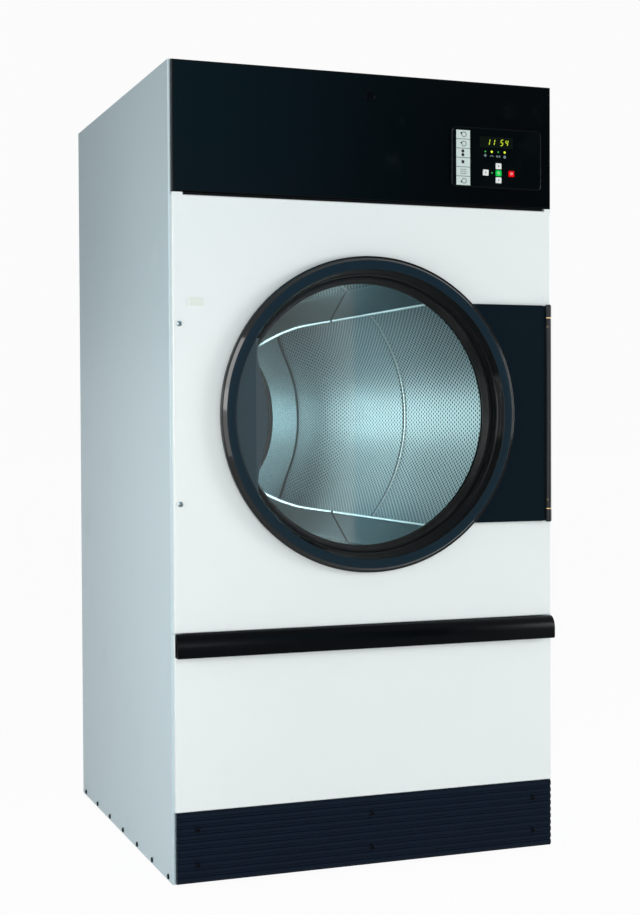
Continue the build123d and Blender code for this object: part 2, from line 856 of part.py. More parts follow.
def knuckle_row(first, bore):
    # Every second knuckle of the long hinge under the control panel, and the width of a step.
    xa = knuckle_left - face_x
    step = (face_x - knuckle_right - xa) / knuckles
    row = []
    for n in range(first, knuckles, 2):
        x = xa + n * step
        tube = rod_x(panel_axis_y, panel_axis_z, knuckle_r, x + swing_gap, x + step - swing_gap)
        row.append((x, tube - rod_x(panel_axis_y, panel_axis_z, bore, x, x + step)))
    return row, step


def hinge_leaf(own, other, z, t, step):
    # A strip behind one set of knuckles, notched where the other set turns.
    leaf = block(knuckle_left - face_x, face_x - knuckle_right, panel_axis_y, y0 - seat - sheet, z, z + t)
    r = knuckle_r + swing_gap
    for x, tube in other:
        leaf -= block(x, x + step, panel_axis_y - r, panel_axis_y + r, z - t, z + 2 * t)
    for x, tube in own:
        leaf += tube
    return leaf


def control_hinge_fixed():
    # Fixed leaf on the front panel's top fold, with the pin staked in its knuckles.
    own, step = knuckle_row(0, knuckle_pin_r / 2)
    other, step = knuckle_row(1, knuckle_pin_r / 2)
    leaf = hinge_leaf(own, other, panel_axis_z - knuckle_r, knuckle_r / 3, step)
    xa = knuckle_left - face_x
    return leaf + rod_x(panel_axis_y, panel_axis_z, knuckle_pin_r, xa, face_x - knuckle_right)


def control_panel():
    # Black folded fascia with its hinge leaf welded under it, and holes for the lock and the module.
    x = face_x
    f = y_face
    base = panel_axis_z + knuckle_r + seat
    plate = pan(-x, x, f, y0 - seat, base, z_top - control_top_gap, sheet, face_bend)
    plate -= rod_y(0, z_top - lock_drop, lock_neck_r + hole_gap, f - seat, y0)
    lap = bezel_lap
    za = bezel_za + lap
    plate -= block(bezel_x0 + lap, bezel_x1 - lap, f - seat, f + bend, za, za + bezel_h - 2 * lap)
    own, step = knuckle_row(1, knuckle_pin_r + pin_play)
    other, step = knuckle_row(0, knuckle_pin_r)
    t = knuckle_r / 3
    leaf = hinge_leaf(own, other, panel_axis_z + knuckle_r - t, t, step)
    xa = knuckle_left - x
    weld = block(xa, x - knuckle_right, panel_axis_y + bend, y0 - seat - sheet, base - t, base + seat)
    return plate + leaf + weld


def button_spots():
    # Middles of the five keys: one column of three with a key to its left and one to its right.
    x = bezel_x0 + button_first
    z = bezel_za + button_row
    w = button_pitch_x
    h = button_pitch_z
    names = ("select", "up", "start", "down", "stop")
    spots = ((x, z), (x + w, z + h), (x + w, z), (x + w, z - h), (x + 2 * w, z))
    return {"button_" + name: spot for name, spot in zip(names, spots)}


def control_bezel():
    # Control module: raised front plate, hollow body behind it and a shelf for the switches.
    yp = y_face - seat / 2
    yf = yp - bezel_rise
    zc = bezel_za + bezel_h
    face = slab(bezel_x0, bezel_x1, yf, yp, bezel_za, zc, bezel_r)
    face = fillet(face.faces().sort_by(Axis.Y)[0].edges(), bezel_rise / 3)
    t = bezel_wall
    lap = bezel_lap + swing_gap
    xa = bezel_x0 + lap
    xb = bezel_x1 - lap
    za = bezel_za + lap
    zc -= lap
    back = y0 + 2 * lap
    body = block(xa, xb, yp - seat, back, za, zc)
    body -= block(xa + t, xb - t, yp - bezel_rise, back - t, za + t, zc - t)
    ya = y_face + shelf_d
    shelf = block(xa + seat, xb - seat, ya, ya + sheet, za + seat, zc - seat)
    module = face + body + shelf
    xa = bezel_x0 + display_left - seat
    za = bezel_za + display_low - seat
    xb = xa + display_w + 2 * seat
    module -= block(xa, xb, yf - seat, yf + display_t + seat, za, za + display_h + 2 * seat)
    w = button_w / 2 + button_gap
    h = button_h / 2 + button_gap
    for x, z in button_spots().values():
        module -= block(x - w, x + w, yf - seat, yp + seat, z - h, z + h)
    return module


def display_window():
    # Dark lens let into the module's face.
    yf = y_face - bezel_rise
    xa = bezel_x0 + display_left
    za = bezel_za + display_low
    return block(xa, xa + display_w, yf, yf + display_t, za, za + display_h)


def button(x, z):
    # Key cap with a soft edge, a catch rim behind the plate and a stem for its switch.
    yf = y_face - bezel_rise - button_rise
    w = button_w / 2
    h = button_h / 2
    r = button_rim
    ya = y_face + swing_gap
    cap = slab(x - w, x + w, yf, ya + seat, z - h, z + h, 2 * r)
    cap = chamfer(cap.faces().sort_by(Axis.Y)[0].edges(), r)
    cap += block(x - w - r, x + w + r, ya, ya + r, z - h - r, z + h + r)
    stem_end = y_face + shelf_d - swing_gap - button_travel
    return cap + rod_y(x, z, w / 3, ya, stem_end)


def lock_body():
    # Round lock housing through the fascia, with its nut behind.
    b = y_face - seat / 2
    f = b - lock_rise
    n = y_face + sheet + seat
    bore = plug_r + run_gap
    neck = lock_neck_r
    nut = lock_nut_r
    e = lock_rise / 2
    end = y0 + bend
    pts = [(bore, f), (lock_r - e, f), (lock_r, f + e), (lock_r, b), (neck, b), (neck, n), (nut, n)]
    pts += [(nut, n + bend), (neck, n + bend), (neck, end), (bore, end)]
    return turned(pts, 0, z_top - lock_drop)


def lock_plug():
    # Turning plug with a key slot and the cam that reaches behind the lid's fold.
    z = z_top - lock_drop
    ya = y0 + 2 * bend
    plug = rod_y(0, z, plug_r, y_face - lock_rise, ya + seat)
    h = plug_r * 0.65
    w = plug_r * 0.12
    plug -= block(-w, w, y_face - 2 * lock_rise, y_face + bend, z - h, z + h)
    return plug + slab(-plug_r, cam_len, ya, ya + cam_t, z - plug_r, z + plug_r, plug_r * 0.7)


def drawer_front():
    # White folded front of the lint drawer.
    return pan(-face_x, face_x, y_face, y0 - seat, zb + drawer_z0, zb + drawer_z1, sheet, face_bend)


def drawer_handle():
    # Full width pull: a drawn section, rounded in front, open below, with a turned in lip.
    y = y_face - seat / 2
    t = zb + drawer_z1 - pull_drop
    w = pull_wall
    f = y - pull_reach
    low = t - pull_h
    pts = [(y, t), (f, t), (f, low), (f + pull_lip, low), (f + pull_lip, low + w), (f + w, low + w)]
    pts += [(f + w, t - w), (y - w, t - w), (y - w, t - pull_flange), (y, t - pull_flange)]
    face = make_face(Polyline(*pts, close=True))
    spots = ((f, t, pull_round), (f, low, pull_low_round))
    spots += ((f + w, t - w, pull_round - w), (f + w, low + w, pull_low_round - w))
    for px, pz, r in spots:
        corner = face.vertices().sort_by_distance(Vertex(px, pz, 0))[0]
        face = fillet(corner, r)
    return along_x(face, -face_x, face_x)


def drawer_tray():
    # Four walls behind the drawer front, a ledge for the screen and a rail on each side.
    ya = y_face + sheet + seat
    yb = y0 + tray_len
    w = tray_half_w
    t = sheet
    e = tray_ledge
    za = zb + drawer_z0 + tray_low
    zc = zb + drawer_z1 - tray_high
    tray = block(-w, w, ya, yb, za, zc)
    tray -= block(-w + t, w - t, ya + t, yb - t, za + t, zc + t)
    tray -= block(-w + e, w - e, ya + e, yb - e, za - t, za + 2 * t)
    reach = half_w - side_lip - rail_lip_gap
    for s in (-1, 1):
        xs = sorted((s * (w - seat), s * reach))
        tray += block(xs[0], xs[1], y0 + rail_lap, yb, rail_z0 + rail_gap, rail_z1 - rail_gap)
    return tray


def lint_screen():
    # Framed screen lying on the tray's ledge, stiffened by bars across.
    gap = sheet + swing_gap
    w = tray_half_w - gap
    ya = y_face + sheet + seat + gap
    yb = y0 + tray_len - gap
    za = zb + drawer_z0 + tray_low + sheet + seat
    zc = za + screen_h
    r = screen_rim
    screen = block(-w, w, ya, yb, za, zc) - block(-w + r, w - r, ya + r, yb - r, za - seat, zc + seat)
    mid = (za + zc) / 2
    screen += block(-w + r, w - r, ya + r, yb - r, mid - sheet / 3, mid + sheet / 3)
    for n in range(1, screen_bars + 1):
        x = -w + n * 2 * w / (screen_bars + 1)
        screen += block(x - screen_bar_w / 2, x + screen_bar_w / 2, ya + r - seat, yb - r + seat, za, zc)
    return screen


def drawer_runners():
    # A channel on each side panel, open towards the drawer.
    rails = []
    ya = y0 + bend + seat
    yb = y0 + tray_len + 2 * rail_lap
    lip = half_w - side_lip - rail_lip_gap - rail_lap
    for s in (-1, 1):
        xs = sorted((s * lip, s * inner_w))
        rail = block(xs[0], xs[1], ya, yb, rail_z0 - sheet, rail_z1 + sheet)
        xs = sorted((s * (lip - sheet), s * (inner_w - sheet)))
        rails.append(rail - block(xs[0], xs[1], ya - seat, yb + seat, rail_z0, rail_z1))
    return Compound(children=rails)


def drum_shell():
    # Rolled cylinder with its front turned in around the mouth.
    a = y0 + drum_front
    b = y0 + drum_back_d + sheet
    r = drum_r
    w = drum_wall
    m = mouth_r
    e = bend
    pts = [(m, a), (r + w - e, a), (r + w, a + e), (r + w, b), (r, b), (r, a + e + w / 2), (r - e, a + w)]
    pts += [(m + e, a + w), (m + e, a + e), (m, a + e)]
    return turned(pts, 0, axis_z)


def drum_back():
    # Bright flat end of the drum with a rolled seam at its rim.
    b = y0 + drum_back_d
    r = drum_r - seat
    e = bend
    pts = [(0, b), (r - 2 * e, b), (r - 1.8 * e, b - 0.9 * e), (r - 1.2 * e, b - 1.4 * e)]
    pts += [(r - 0.5 * e, b - 1.3 * e), (r, b - 0.7 * e), (r, b + sheet), (0, b + sheet)]
    return turned(pts, 0, axis_z)


def drum_lifters():
    # Slim ribs along the drum wall, each folded from sheet with closed ends.
    crest = drum_r - lifter_h
    w = lifter_half_w
    t = lifter_wall
    base = drum_r + lifter_end_gap
    knee = drum_r - lifter_h / 8
    ya = y0 + drum_front + lifter_end_gap
    length = drum_len - 2 * lifter_end_gap
    pts = [(-w, -base), (-w, -knee), (-w * 0.3, -crest - w * 0.4), (-w * 0.2, -crest - w * 0.12), (0, -crest)]
    pts += [(-x, z) for x, z in reversed(pts[:-1])]
    face = make_face(Polyline(*pts, close=True))
    room = offset(face, -t)
    rib = Pos(0, ya, 0) * extrude(Plane.XZ * face, length, dir=(0, 1, 0))
    rib -= Pos(0, ya + t, -2 * t) * extrude(Plane.XZ * room, length - 2 * t, dir=(0, 1, 0))
    rib &= rod_y(0, 0, drum_r - seat, y0, y_rear)
    return Compound(children=[Pos(0, 0, axis_z) * Rot(0, -90 - a, 0) * rib for a in lifter_angles])


def drum_spider():
    # Welded star behind the drum with its shaft.
    a = y0 + drum_back_d + sheet + seat
    star = rod_y(0, axis_z, spider_hub_r, a, a + spider_hub_h)
    for k in range(3):
        w = spider_arm_w / 2
        arm = block(-w, w, a, a + spider_arm_t, 0, drum_r - spider_arm_t)
        star += Pos(0, 0, axis_z) * Rot(0, 60 + 120 * k, 0) * arm
    return star + rod_y(0, axis_z, shaft_r, a + spider_arm_t, y_drum_belt + pulley_w / 2 + bend)


def wheel(x, z, r, yc, hub_r, bore_r):
    # A belt wheel: grooved rim, thin web and a hub.
    h = pulley_w / 2
    g = belt_w / 2 + sheet
    web = pulley_web
    low = r - belt_t - sheet
    rim = low - pulley_rim
    half = [(bore_r, -h), (hub_r, -h), (hub_r, -web), (rim, -web), (rim, -h), (r, -h), (r, -g), (low, -g)]
    return turned([(q, yc + d) for q, d in half] + [(q, yc - d) for q, d in reversed(half)], x, z)


def plain_wheel(x, z, r, yc, bore_r):
    # A small solid belt wheel.
    h = pulley_w / 2
    g = belt_w / 2 + sheet
    low = r - belt_t - sheet
    half = [(bore_r, -h), (r, -h), (r, -g), (low, -g)]
    return turned([(q, yc + d) for q, d in half] + [(q, yc - d) for q, d in reversed(half)], x, z)


def drum_pulley():
    # Large wheel on the drum shaft, lightened by five holes.
    big = wheel(0, axis_z, drum_pulley_r, y_drum_belt, pulley_hub_r, shaft_r + run_gap)
    for k in range(5):
        a = radians(90 + 72 * k)
        x = pulley_hole_at * cos(a)
        z = axis_z + pulley_hole_at * sin(a)
        big -= rod_y(x, z, pulley_hole_r, y_drum_belt - pulley_w, y_drum_belt + pulley_w)
    return big


def jack_pulley():
    # Two step wheel on the fixed axle.
    bore = jack_axle_r + run_gap
    pair = wheel(jack_x, jack_z, jack_large_r, y_motor_belt, jack_hub_r, bore)
    pair += plain_wheel(jack_x, jack_z, jack_small_r, y_drum_belt, bore)
    r = jack_boss_r
    neck = [(bore, y_motor_belt), (r, y_motor_belt), (r, y_drum_belt), (bore, y_drum_belt)]
    return pair + turned(neck, jack_x, jack_z)


def belt(xa, za, ra, xb, zc, rb, yc):
    # A closed belt around two wheels, from the tangent points of its inner and outer lines.
    run = hypot(xb - xa, zc - za)
    lean = atan2(zc - za, xb - xa)
    loops = []
    for grow, w in ((belt_gap + belt_t, belt_w), (belt_gap, 2 * belt_w)):
        r1 = ra - belt_t - sheet + grow
        r2 = rb - belt_t - sheet + grow
        spread = acos((r1 - r2) / run)
        pts = []
        for cx, cz, r, s in ((xa, za, r1, 1), (xb, zc, r2, 1), (xb, zc, r2, -1), (xa, za, r1, -1)):
            a = lean + s * spread
            pts.append((cx + r * cos(a), cz + r * sin(a)))
        strip = extrude(Plane.XZ * make_face(Polyline(*pts, close=True)), w / 2, both=True)
        loops.append(strip + rod_y(xa, za, r1, -w / 2, w / 2) + rod_y(xb, zc, r2, -w / 2, w / 2))
    return Pos(0, yc, 0) * (loops[0] - loops[1])


def bearing_housing():
    # Cast bearing tube with a flange and ribs, bored for a bearing at each end.
    a = y0 + wall_d + wall_t + seat
    b = a + housing_len
    t = housing_flange_t
    bore = bearing_r + run_gap
    neck = (shaft_r + bearing_r) / 2
    pocket = bearing_w + bearing_lip
    tube = housing_r
    flange = housing_flange_r
    pts = [(bore, a), (flange, a), (flange, a + t), (tube + bend, a + t), (tube, a + t + bend)]
    pts += [(tube, b), (bore, b), (bore, b - pocket), (neck, b - pocket)]
    pts += [(neck, a + pocket), (bore, a + pocket)]
    body = turned(pts, 0, axis_z)
    low = tube - bend
    high = housing_flange_r - t
    rib = make_face(Polyline((a + t - seat, low), (a + t - seat, high), (b - pocket, low), close=True))
    for k in range(housing_ribs):
        body += Pos(0, 0, axis_z) * Rot(0, 360 * k / housing_ribs, 0) * along_x(rib, -rib_t / 2, rib_t / 2)
    return body


def drum_bearings():
    # Two rolling bearings on the drum shaft.
    a = y0 + wall_d + wall_t + seat
    b = a + housing_len
    rings = []
    for y in (a + bearing_lip, b - bearing_lip - bearing_w):
        end = y + bearing_w
        pts = [(shaft_r + run_gap, y), (bearing_r, y), (bearing_r, end), (shaft_r + run_gap, end)]
        rings.append(turned(pts, 0, axis_z))
    return Compound(children=rings)


def motor():
    # Foot mounted motor with end bells and a terminal box.
    a = y0 + motor_d
    b = a + motor_len
    r = motor_r
    bell = motor_len / 6
    bore = motor_shaft_r + run_gap
    half = [(bore, a), (r * 0.68, a), (r * 0.92, a + bell / 2), (r * 0.92, a + bell), (r, a + bell)]
    body = turned(half + [(q, a + b - y) for q, y in reversed(half)], motor_x, fan_z)
    ya = a + motor_gap * 2
    yb = b - motor_gap * 2
    foot_z = fan_z - r - motor_foot_h + seat
    w = stand_w / 2 - bend
    body += block(motor_x - w, motor_x + w, ya, yb, foot_z, foot_z + motor_foot_h)
    for s in (-1, 1):
        x = motor_x + s * r * 0.6
        body += block(x - motor_foot_h, x + motor_foot_h, ya, yb, foot_z + bend, fan_z - r * 0.65)
    w = r * 0.43
    return body + block(motor_x - w, motor_x + w, ya, yb, fan_z + r * 0.9, fan_z + r * 1.35)


def motor_shaft():
    # Rotor shaft with the small belt wheel on its back end.
    front = y0 + scroll_front + fan_inset + fan_plate
    stem = rod_y(motor_x, fan_z, motor_shaft_r, front, y_motor_belt + pulley_w / 2 + bend)
    return stem + plain_wheel(motor_x, fan_z, motor_pulley_r, y_motor_belt, motor_shaft_r / 2)


def impeller():
    # Fan wheel with straight blades between a back plate and a front ring.
    a = y0 + scroll_front + fan_inset
    b = a + fan_d
    p = b - fan_plate
    r = fan_r
    hub = motor_shaft_r * 2.5
    bore = motor_shaft_r + run_gap
    back = [(bore, b - hub), (hub, b - hub), (hub, p), (r, p), (r, b), (bore, b)]
    fan = turned(back, motor_x, fan_z)
    w = r - fan_ring_w
    fan += turned([(w, a), (r, a), (r, a + fan_plate), (w, a + fan_plate)], motor_x, fan_z)
    t = fan_plate / 2
    for k in range(fan_blades):
        blade = block(-t / 2, t / 2, a + t, b - t, r - fan_blade_len - t, r - t)
        fan += Pos(motor_x, 0, fan_z) * Rot(0, 360 * k / fan_blades, 0) * blade
    return fan


def blower_housing():
    # Fan scroll with its inlet to the front and its outlet to the exhaust duct.
    a = y0 + scroll_front
    b = a + scroll_d
    t = sheet
    r = scroll_r
    x1 = duct_x - duct_half - seat
    z0 = fan_z - r
    body = rod_y(motor_x, fan_z, r, a, b) + block(motor_x, x1, a, b, z0, z0 + outlet_h)
    for s in (-1, 1):
        x = motor_x + s * scroll_leg_x
        w = scroll_leg_w / 2
        y = (a + b) / 2
        body += block(x - w, x + w, y - w, y + w, zb + frame_h + seat, fan_z - r / 2)
    body -= rod_y(motor_x, fan_z, r - t, a + t, b - t)
    body -= block(motor_x, x1 + t, a + t, b - t, z0 + t, z0 + outlet_h - t)
    body -= rod_y(motor_x, fan_z, fan_r - fan_ring_w + 2 * bend, a - t, a + 2 * t)
    return body - rod_y(motor_x, fan_z, motor_shaft_r + bend, b - 2 * t, b + t)


def exhaust_duct():
    # Square duct from the fan outlet to the round collar at the back.
    a = y0 + scroll_front
    b = y_rear - sheet - seat
    t = sheet
    zc = zb + duct_z
    h = duct_half
    box = shell_box(duct_x - h, duct_x + h, a, b, zc - h, zc + h, t)
    z0 = fan_z - scroll_r
    box -= block(duct_x - h - t, duct_x - h + 2 * t, a + t, a + scroll_d - t, z0 + t, z0 + outlet_h - t)
    r = duct_r
    w = duct_wall
    box -= rod_y(duct_x, zc, r - w, b - 2 * t, b + t)
    c = y_back + seat
    end = y_rear + collar_len
    rim = r + collar_rim
    neck = [(r - w, b - t), (r + w, b - t), (r + w, c), (rim, c), (rim, c + t)]
    pipe = [(r, c + t), (r, end), (r - w, end)]
    return box + turned(neck + pipe, duct_x, zc)


def junction_box():
    # Supply box on the back with a threaded cable entry in its cover.
    ya = y_back + seat
    yb = ya + supply_d
    xa = supply_side - half_w
    za = zb + guard_z1 + supply_rise
    x = xa + supply_w / 2
    z = za + supply_h / 2
    t = supply_wall
    box = shell_box(xa, xa + supply_w, ya, yb, za, za + supply_h, t)
    box += rod_y(x, z, entry_r + entry_wall, yb - t / 2, yb + entry_len)
    return box - rod_y(x, z, entry_r, yb - 2 * t, yb + entry_len + t)


def foot(x, y):
    # Levelling foot: a dished pad and its threaded stud.
    pad = rod_z(x, y, foot_pad_r, 0, foot_pad_h)
    pad = chamfer(pad.faces().sort_by(Axis.Z)[-1].edges(), foot_pad_h / 3)
    return pad + rod_z(x, y, foot_stud_r, foot_pad_h - seat, foot_pad_h + foot_stud_len)


right_side = side_panel()
parts["base_frame"] = base_frame()
parts["left_side_panel"] = mirror(right_side, Plane.YZ)
parts["right_side_panel"] = right_side
parts["top_panel"] = top_panel()
parts["heater_housing"] = heater_housing()
parts["heater_elements"] = heater_elements()
parts["rear_bulkhead"] = rear_bulkhead()
parts["rear_cover"] = rear_cover()
parts["drive_guard"] = drive_guard()
parts["front_panel"] = front_panel()
parts["drum_seal"] = drum_seal()
parts["kick_plate"] = kick_plate()
parts["cabinet_screws"] = cabinet_screws()
parts["control_compartment"] = control_compartment()
parts["catch_magnets"] = catch_magnets()
parts["hinge_post"] = hinge_post()
parts["hinge_pin"] = hinge_pin()
parts["control_hinge_fixed"] = control_hinge_fixed()
parts["bearing_housing"] = bearing_housing()
parts["drum_bearings"] = drum_bearings()
parts["motor"] = motor()
parts["blower_housing"] = blower_housing()
parts["exhaust_duct"] = exhaust_duct()
parts["drum_belt"] = belt(0, axis_z, drum_pulley_r, jack_x, jack_z, jack_small_r, y_drum_belt)
parts["motor_belt"] = belt(jack_x, jack_z, jack_large_r, motor_x, fan_z, motor_pulley_r, y_motor_belt)
parts["drawer_runners"] = drawer_runners()
parts["junction_box"] = junction_box()
parts["door_plate"] = door_plate()
parts["door_ring"] = door_ring()
parts["door_glass"] = door_glass()
parts["glass_seal"] = glass_seal()
parts["door_gasket"] = door_gasket()
parts["door_handle"] = door_handle()
parts["hinge_barrel"] = hinge_barrel()
parts["control_panel"] = control_panel()
parts["control_bezel"] = control_bezel()
parts["display_window"] = display_window()
parts["lock_body"] = lock_body()
parts["lock_plug"] = lock_plug()
for name, spot in button_spots().items():
    parts[name] = button(*spot)
parts["drawer_front"] = drawer_front()
parts["drawer_handle"] = drawer_handle()
parts["drawer_tray"] = drawer_tray()
parts["lint_screen"] = lint_screen()
parts["drum_shell"] = drum_shell()
parts["drum_back"] = drum_back()
parts["drum_lifters"] = drum_lifters()
parts["drum_spider"] = drum_spider()
parts["drum_pulley"] = drum_pulley()
parts["jack_pulley"] = jack_pulley()
parts["motor_shaft"] = motor_shaft()
parts["impeller"] = impeller()
for corner, spot in zip(("front_left", "front_right", "rear_left", "rear_right"), foot_spots):
    parts["foot_" + corner] = foot(*spot)

for name, shape in parts.items():
    export_step(shape, "parts/" + name + ".step")
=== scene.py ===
import math
from functools import partialmethod

import bmesh
import bpy
from mathutils import Matrix, Vector


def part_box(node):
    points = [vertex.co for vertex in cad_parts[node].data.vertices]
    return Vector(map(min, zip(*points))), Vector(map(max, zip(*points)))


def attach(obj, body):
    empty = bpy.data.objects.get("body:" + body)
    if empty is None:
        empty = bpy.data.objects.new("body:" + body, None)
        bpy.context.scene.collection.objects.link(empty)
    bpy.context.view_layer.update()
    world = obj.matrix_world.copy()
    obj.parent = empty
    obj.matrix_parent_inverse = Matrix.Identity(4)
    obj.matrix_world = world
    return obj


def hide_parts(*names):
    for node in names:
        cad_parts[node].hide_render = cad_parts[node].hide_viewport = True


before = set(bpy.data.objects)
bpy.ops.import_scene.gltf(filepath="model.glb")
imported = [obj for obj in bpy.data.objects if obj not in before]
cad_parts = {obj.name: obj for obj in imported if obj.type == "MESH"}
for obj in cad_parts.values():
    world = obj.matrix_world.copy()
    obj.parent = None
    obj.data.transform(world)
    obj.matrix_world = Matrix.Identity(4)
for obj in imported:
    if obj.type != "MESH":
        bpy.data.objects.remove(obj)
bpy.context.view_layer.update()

# The base frame is folded channel and welded square tube, galvanised, with four levelling feet
# screwed up into its corner plates. The classes and helpers here also serve the later sections.


class Signal:
    # One shader socket in a Python expression: each operator adds a Math node.
    def __init__(self, finish, socket):
        self.finish = finish
        self.socket = socket

    def math(self, operation, other=0.0, swapped=False):
        pair = (other, self) if swapped else (self, other)
        return self.finish.add("ShaderNodeMath", {0: pair[0], 1: pair[1]}, operation=operation)

    __add__ = __radd__ = partialmethod(math, "ADD")
    __sub__ = partialmethod(math, "SUBTRACT")
    __rsub__ = partialmethod(math, "SUBTRACT", swapped=True)
    __mul__ = __rmul__ = partialmethod(math, "MULTIPLY")
    __truediv__ = partialmethod(math, "DIVIDE")
    __rtruediv__ = partialmethod(math, "DIVIDE", swapped=True)
    __pow__ = partialmethod(math, "POWER")
    __rpow__ = partialmethod(math, "POWER", swapped=True)
    __gt__ = partialmethod(math, "GREATER_THAN")
    __lt__ = partialmethod(math, "LESS_THAN")


class Finish:
    # The nodes of one material, or of the room; constants are set on the shader's own sockets.
    def __init__(self, owner, shader="Principled BSDF", **constants):
        owner.use_nodes = True
        self.owner = owner
        self.tree = owner.node_tree
        self.shader = self.tree.nodes[shader]
        for socket, value in constants.items():
            self.shader.inputs[socket.replace("_", " ")].default_value = value

    def add(self, kind, sockets, output=0, **settings):
        node = self.tree.nodes.new(kind)
        for key, value in settings.items():
            setattr(node, key, value)
        for key, value in sockets.items():
            if isinstance(value, Signal):
                self.tree.links.new(value.socket, node.inputs[key])
            else:
                node.inputs[key].default_value = value
        return Signal(self, node.outputs[output])

    def drive(self, **sockets):
        for key, value in sockets.items():
            self.tree.links.new(value.socket, self.shader.inputs[key.replace("_", " ")])

    def place(self, stretch=None):
        point = self.add("ShaderNodeTexCoord", {}, "Object")
        if stretch is None:
            return point
        return self.add("ShaderNodeVectorMath", {0: point, 1: stretch}, operation="MULTIPLY")

    def axes(self, names):
        point = self.place()
        return [self.add("ShaderNodeSeparateXYZ", {0: point}, axis) for axis in names]

    def radius(self, axis_z):
        # Distance from a level axis that runs from front to back.
        x, z = self.axes("XZ")
        up = z - axis_z
        return (x * x + up * up) ** 0.5

    def noise(self, scale, detail=2.0, stretch=None):
        sockets = {"Vector": self.place(stretch), "Scale": scale, "Detail": detail}
        return self.add("ShaderNodeTexNoise", sockets)

    def ramp(self, value, low, high, start=0.0, end=1.0):
        sockets = {0: value, 1: low, 2: high, 3: start, 4: end}
        return self.add("ShaderNodeMapRange", sockets, interpolation_type="SMOOTHSTEP")

    def tint(self, mask, off, on):
        first, second = [end if isinstance(end, Signal) else (*end, 1.0) for end in (off, on)]
        return self.add("ShaderNodeMix", {0: mask, 6: first, 7: second}, 2, data_type="RGBA")

    def tone(self, mask, colour, off, on):
        # One colour between two shares of itself.
        return self.tint(mask, shade(colour, off), shade(colour, on))

    def blend(self, mask, off, on):
        # Two shaders mixed on the surface.
        mixed = self.add("ShaderNodeMixShader", {0: mask, 1: off, 2: on})
        self.tree.links.new(mixed.socket, self.tree.nodes["Material Output"].inputs["Surface"])

    def bump(self, height, distance, strength):
        sockets = {"Height": height, "Distance": distance, "Strength": strength}
        self.drive(Normal=self.add("ShaderNodeBump", sockets))


def coat(name, **constants):
    return Finish(bpy.data.materials.new(name), **constants)


def shade(colour, factor):
    return tuple(channel * factor for channel in colour)


def dress(finish, *nodes):
    # Gives CAD nodes their finish.
    for node in nodes:
        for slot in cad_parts[node].material_slots:
            slot.material = finish.owner


def galvanised(name, colour, spangle=26.0):
    # Hot dipped sheet: angular crystals that differ a little in tone and shine, with soft streaks.
    finish = coat(name, Metallic=0.85)
    crystal = finish.add("ShaderNodeTexVoronoi", {"Vector": finish.place(), "Scale": spangle}, "Color")
    tone = finish.add("ShaderNodeSeparateColor", {0: crystal})
    streak = finish.noise(6.0, 3.0, (1.0, 1.0, 0.25))
    grime = finish.ramp(finish.noise(2.2, 4.0), 0.52, 0.78)
    clean = finish.tone(0.55 * tone + 0.45 * streak, colour, 0.8, 1.12)
    finish.drive(Base_Color=finish.tint(0.35 * grime, clean, shade(colour, 0.55)))
    finish.drive(Roughness=0.36 + 0.16 * tone + 0.1 * grime)
    finish.bump(finish.noise(420.0), 0.0002, 0.12)
    return finish


FRAME_ZINC = (0.40, 0.42, 0.44)
FOOT_STEEL = (0.45, 0.46, 0.48)
dress(galvanised("frame_zinc", FRAME_ZINC), "base_frame")


def turned_steel(name, colour, stretch=None, rough=0.3):
    # Machined steel with fine tool marks around its axis and a few dull spots.
    finish = coat(name, Metallic=1.0)
    lines = finish.noise(900.0, 1.0, stretch)
    dull = finish.ramp(finish.noise(35.0, 3.0), 0.5, 0.75)
    finish.drive(Base_Color=finish.tone(0.4 * dull, colour, 1.0, 0.6))
    finish.drive(Roughness=rough + 0.12 * lines + 0.15 * dull)
    finish.bump(lines, 0.00015, 0.2)
    return finish


foot_steel = turned_steel("foot_steel", FOOT_STEEL, (0.05, 0.05, 1.0), rough=0.34)
dress(foot_steel, *(f"foot_{row}_{side}" for row in ("front", "rear") for side in ("left", "right")))

# The side panels and the lid are folded from sheet and powder coated light grey; their colour is set
# darker and bluer than that paint, painted shade for the dimmer light on the sides. They hook over the
# base frame and are screwed along their lower edges.


PALE_DUST = (0.62, 0.6, 0.57)


def powder_coat(name, colour, rough, peel=0.25, dust=PALE_DUST, dusty=0.05, shine=0.5):
    # Baked powder: fine orange peel, a slow drift in tone, and a little dust that lies in patches.
    finish = coat(name, Specular_IOR_Level=shine)
    drift = finish.noise(1.7, 3.0)
    rub = finish.ramp(finish.noise(9.0, 5.0), 0.58, 0.8)
    paint = finish.tone(drift, colour, 0.965, 1.02)
    finish.drive(Base_Color=finish.tint(dusty * rub, paint, dust))
    finish.drive(Roughness=rough - 0.05 + 0.08 * drift + 0.14 * rub)
    peel_height = finish.noise(260.0, 1.0) + 0.35 * finish.noise(900.0, 1.0)
    finish.bump(peel_height, 0.00025, peel)
    return finish


# Partly painted shade: darker and bluer than the light grey paint itself.
SIDE_GREY_AND_SHADE = (0.545, 0.68, 0.73)
side_paint = powder_coat("side_paint", SIDE_GREY_AND_SHADE, rough=0.46, shine=0.3)
dress(side_paint, "left_side_panel", "right_side_panel", "top_panel")

# The wall behind the drum, its bearing housing and the bearings carry the drum's shaft.
# The wall is thick galvanised plate, the housing a ribbed iron casting bolted through it.


IRON_DUST = (0.3, 0.29, 0.27)


def casting(name, colour, metal=0.0, rough=0.55):
    # Sand cast iron under a thin coat of enamel, coarse and pitted.
    finish = coat(name, Metallic=metal)
    sand = finish.noise(240.0, 3.0)
    pits = finish.ramp(finish.noise(90.0), 0.3, 0.45)
    dust = finish.ramp(finish.noise(14.0, 4.0), 0.5, 0.8)
    skin = finish.tone(sand, colour, 0.8, 1.15)
    finish.drive(Base_Color=finish.tint(0.3 * dust, skin, IRON_DUST))
    finish.drive(Roughness=rough + 0.15 * dust + 0.08 * sand)
    finish.bump(sand + 0.6 * pits, 0.0006, 0.5)
    return finish


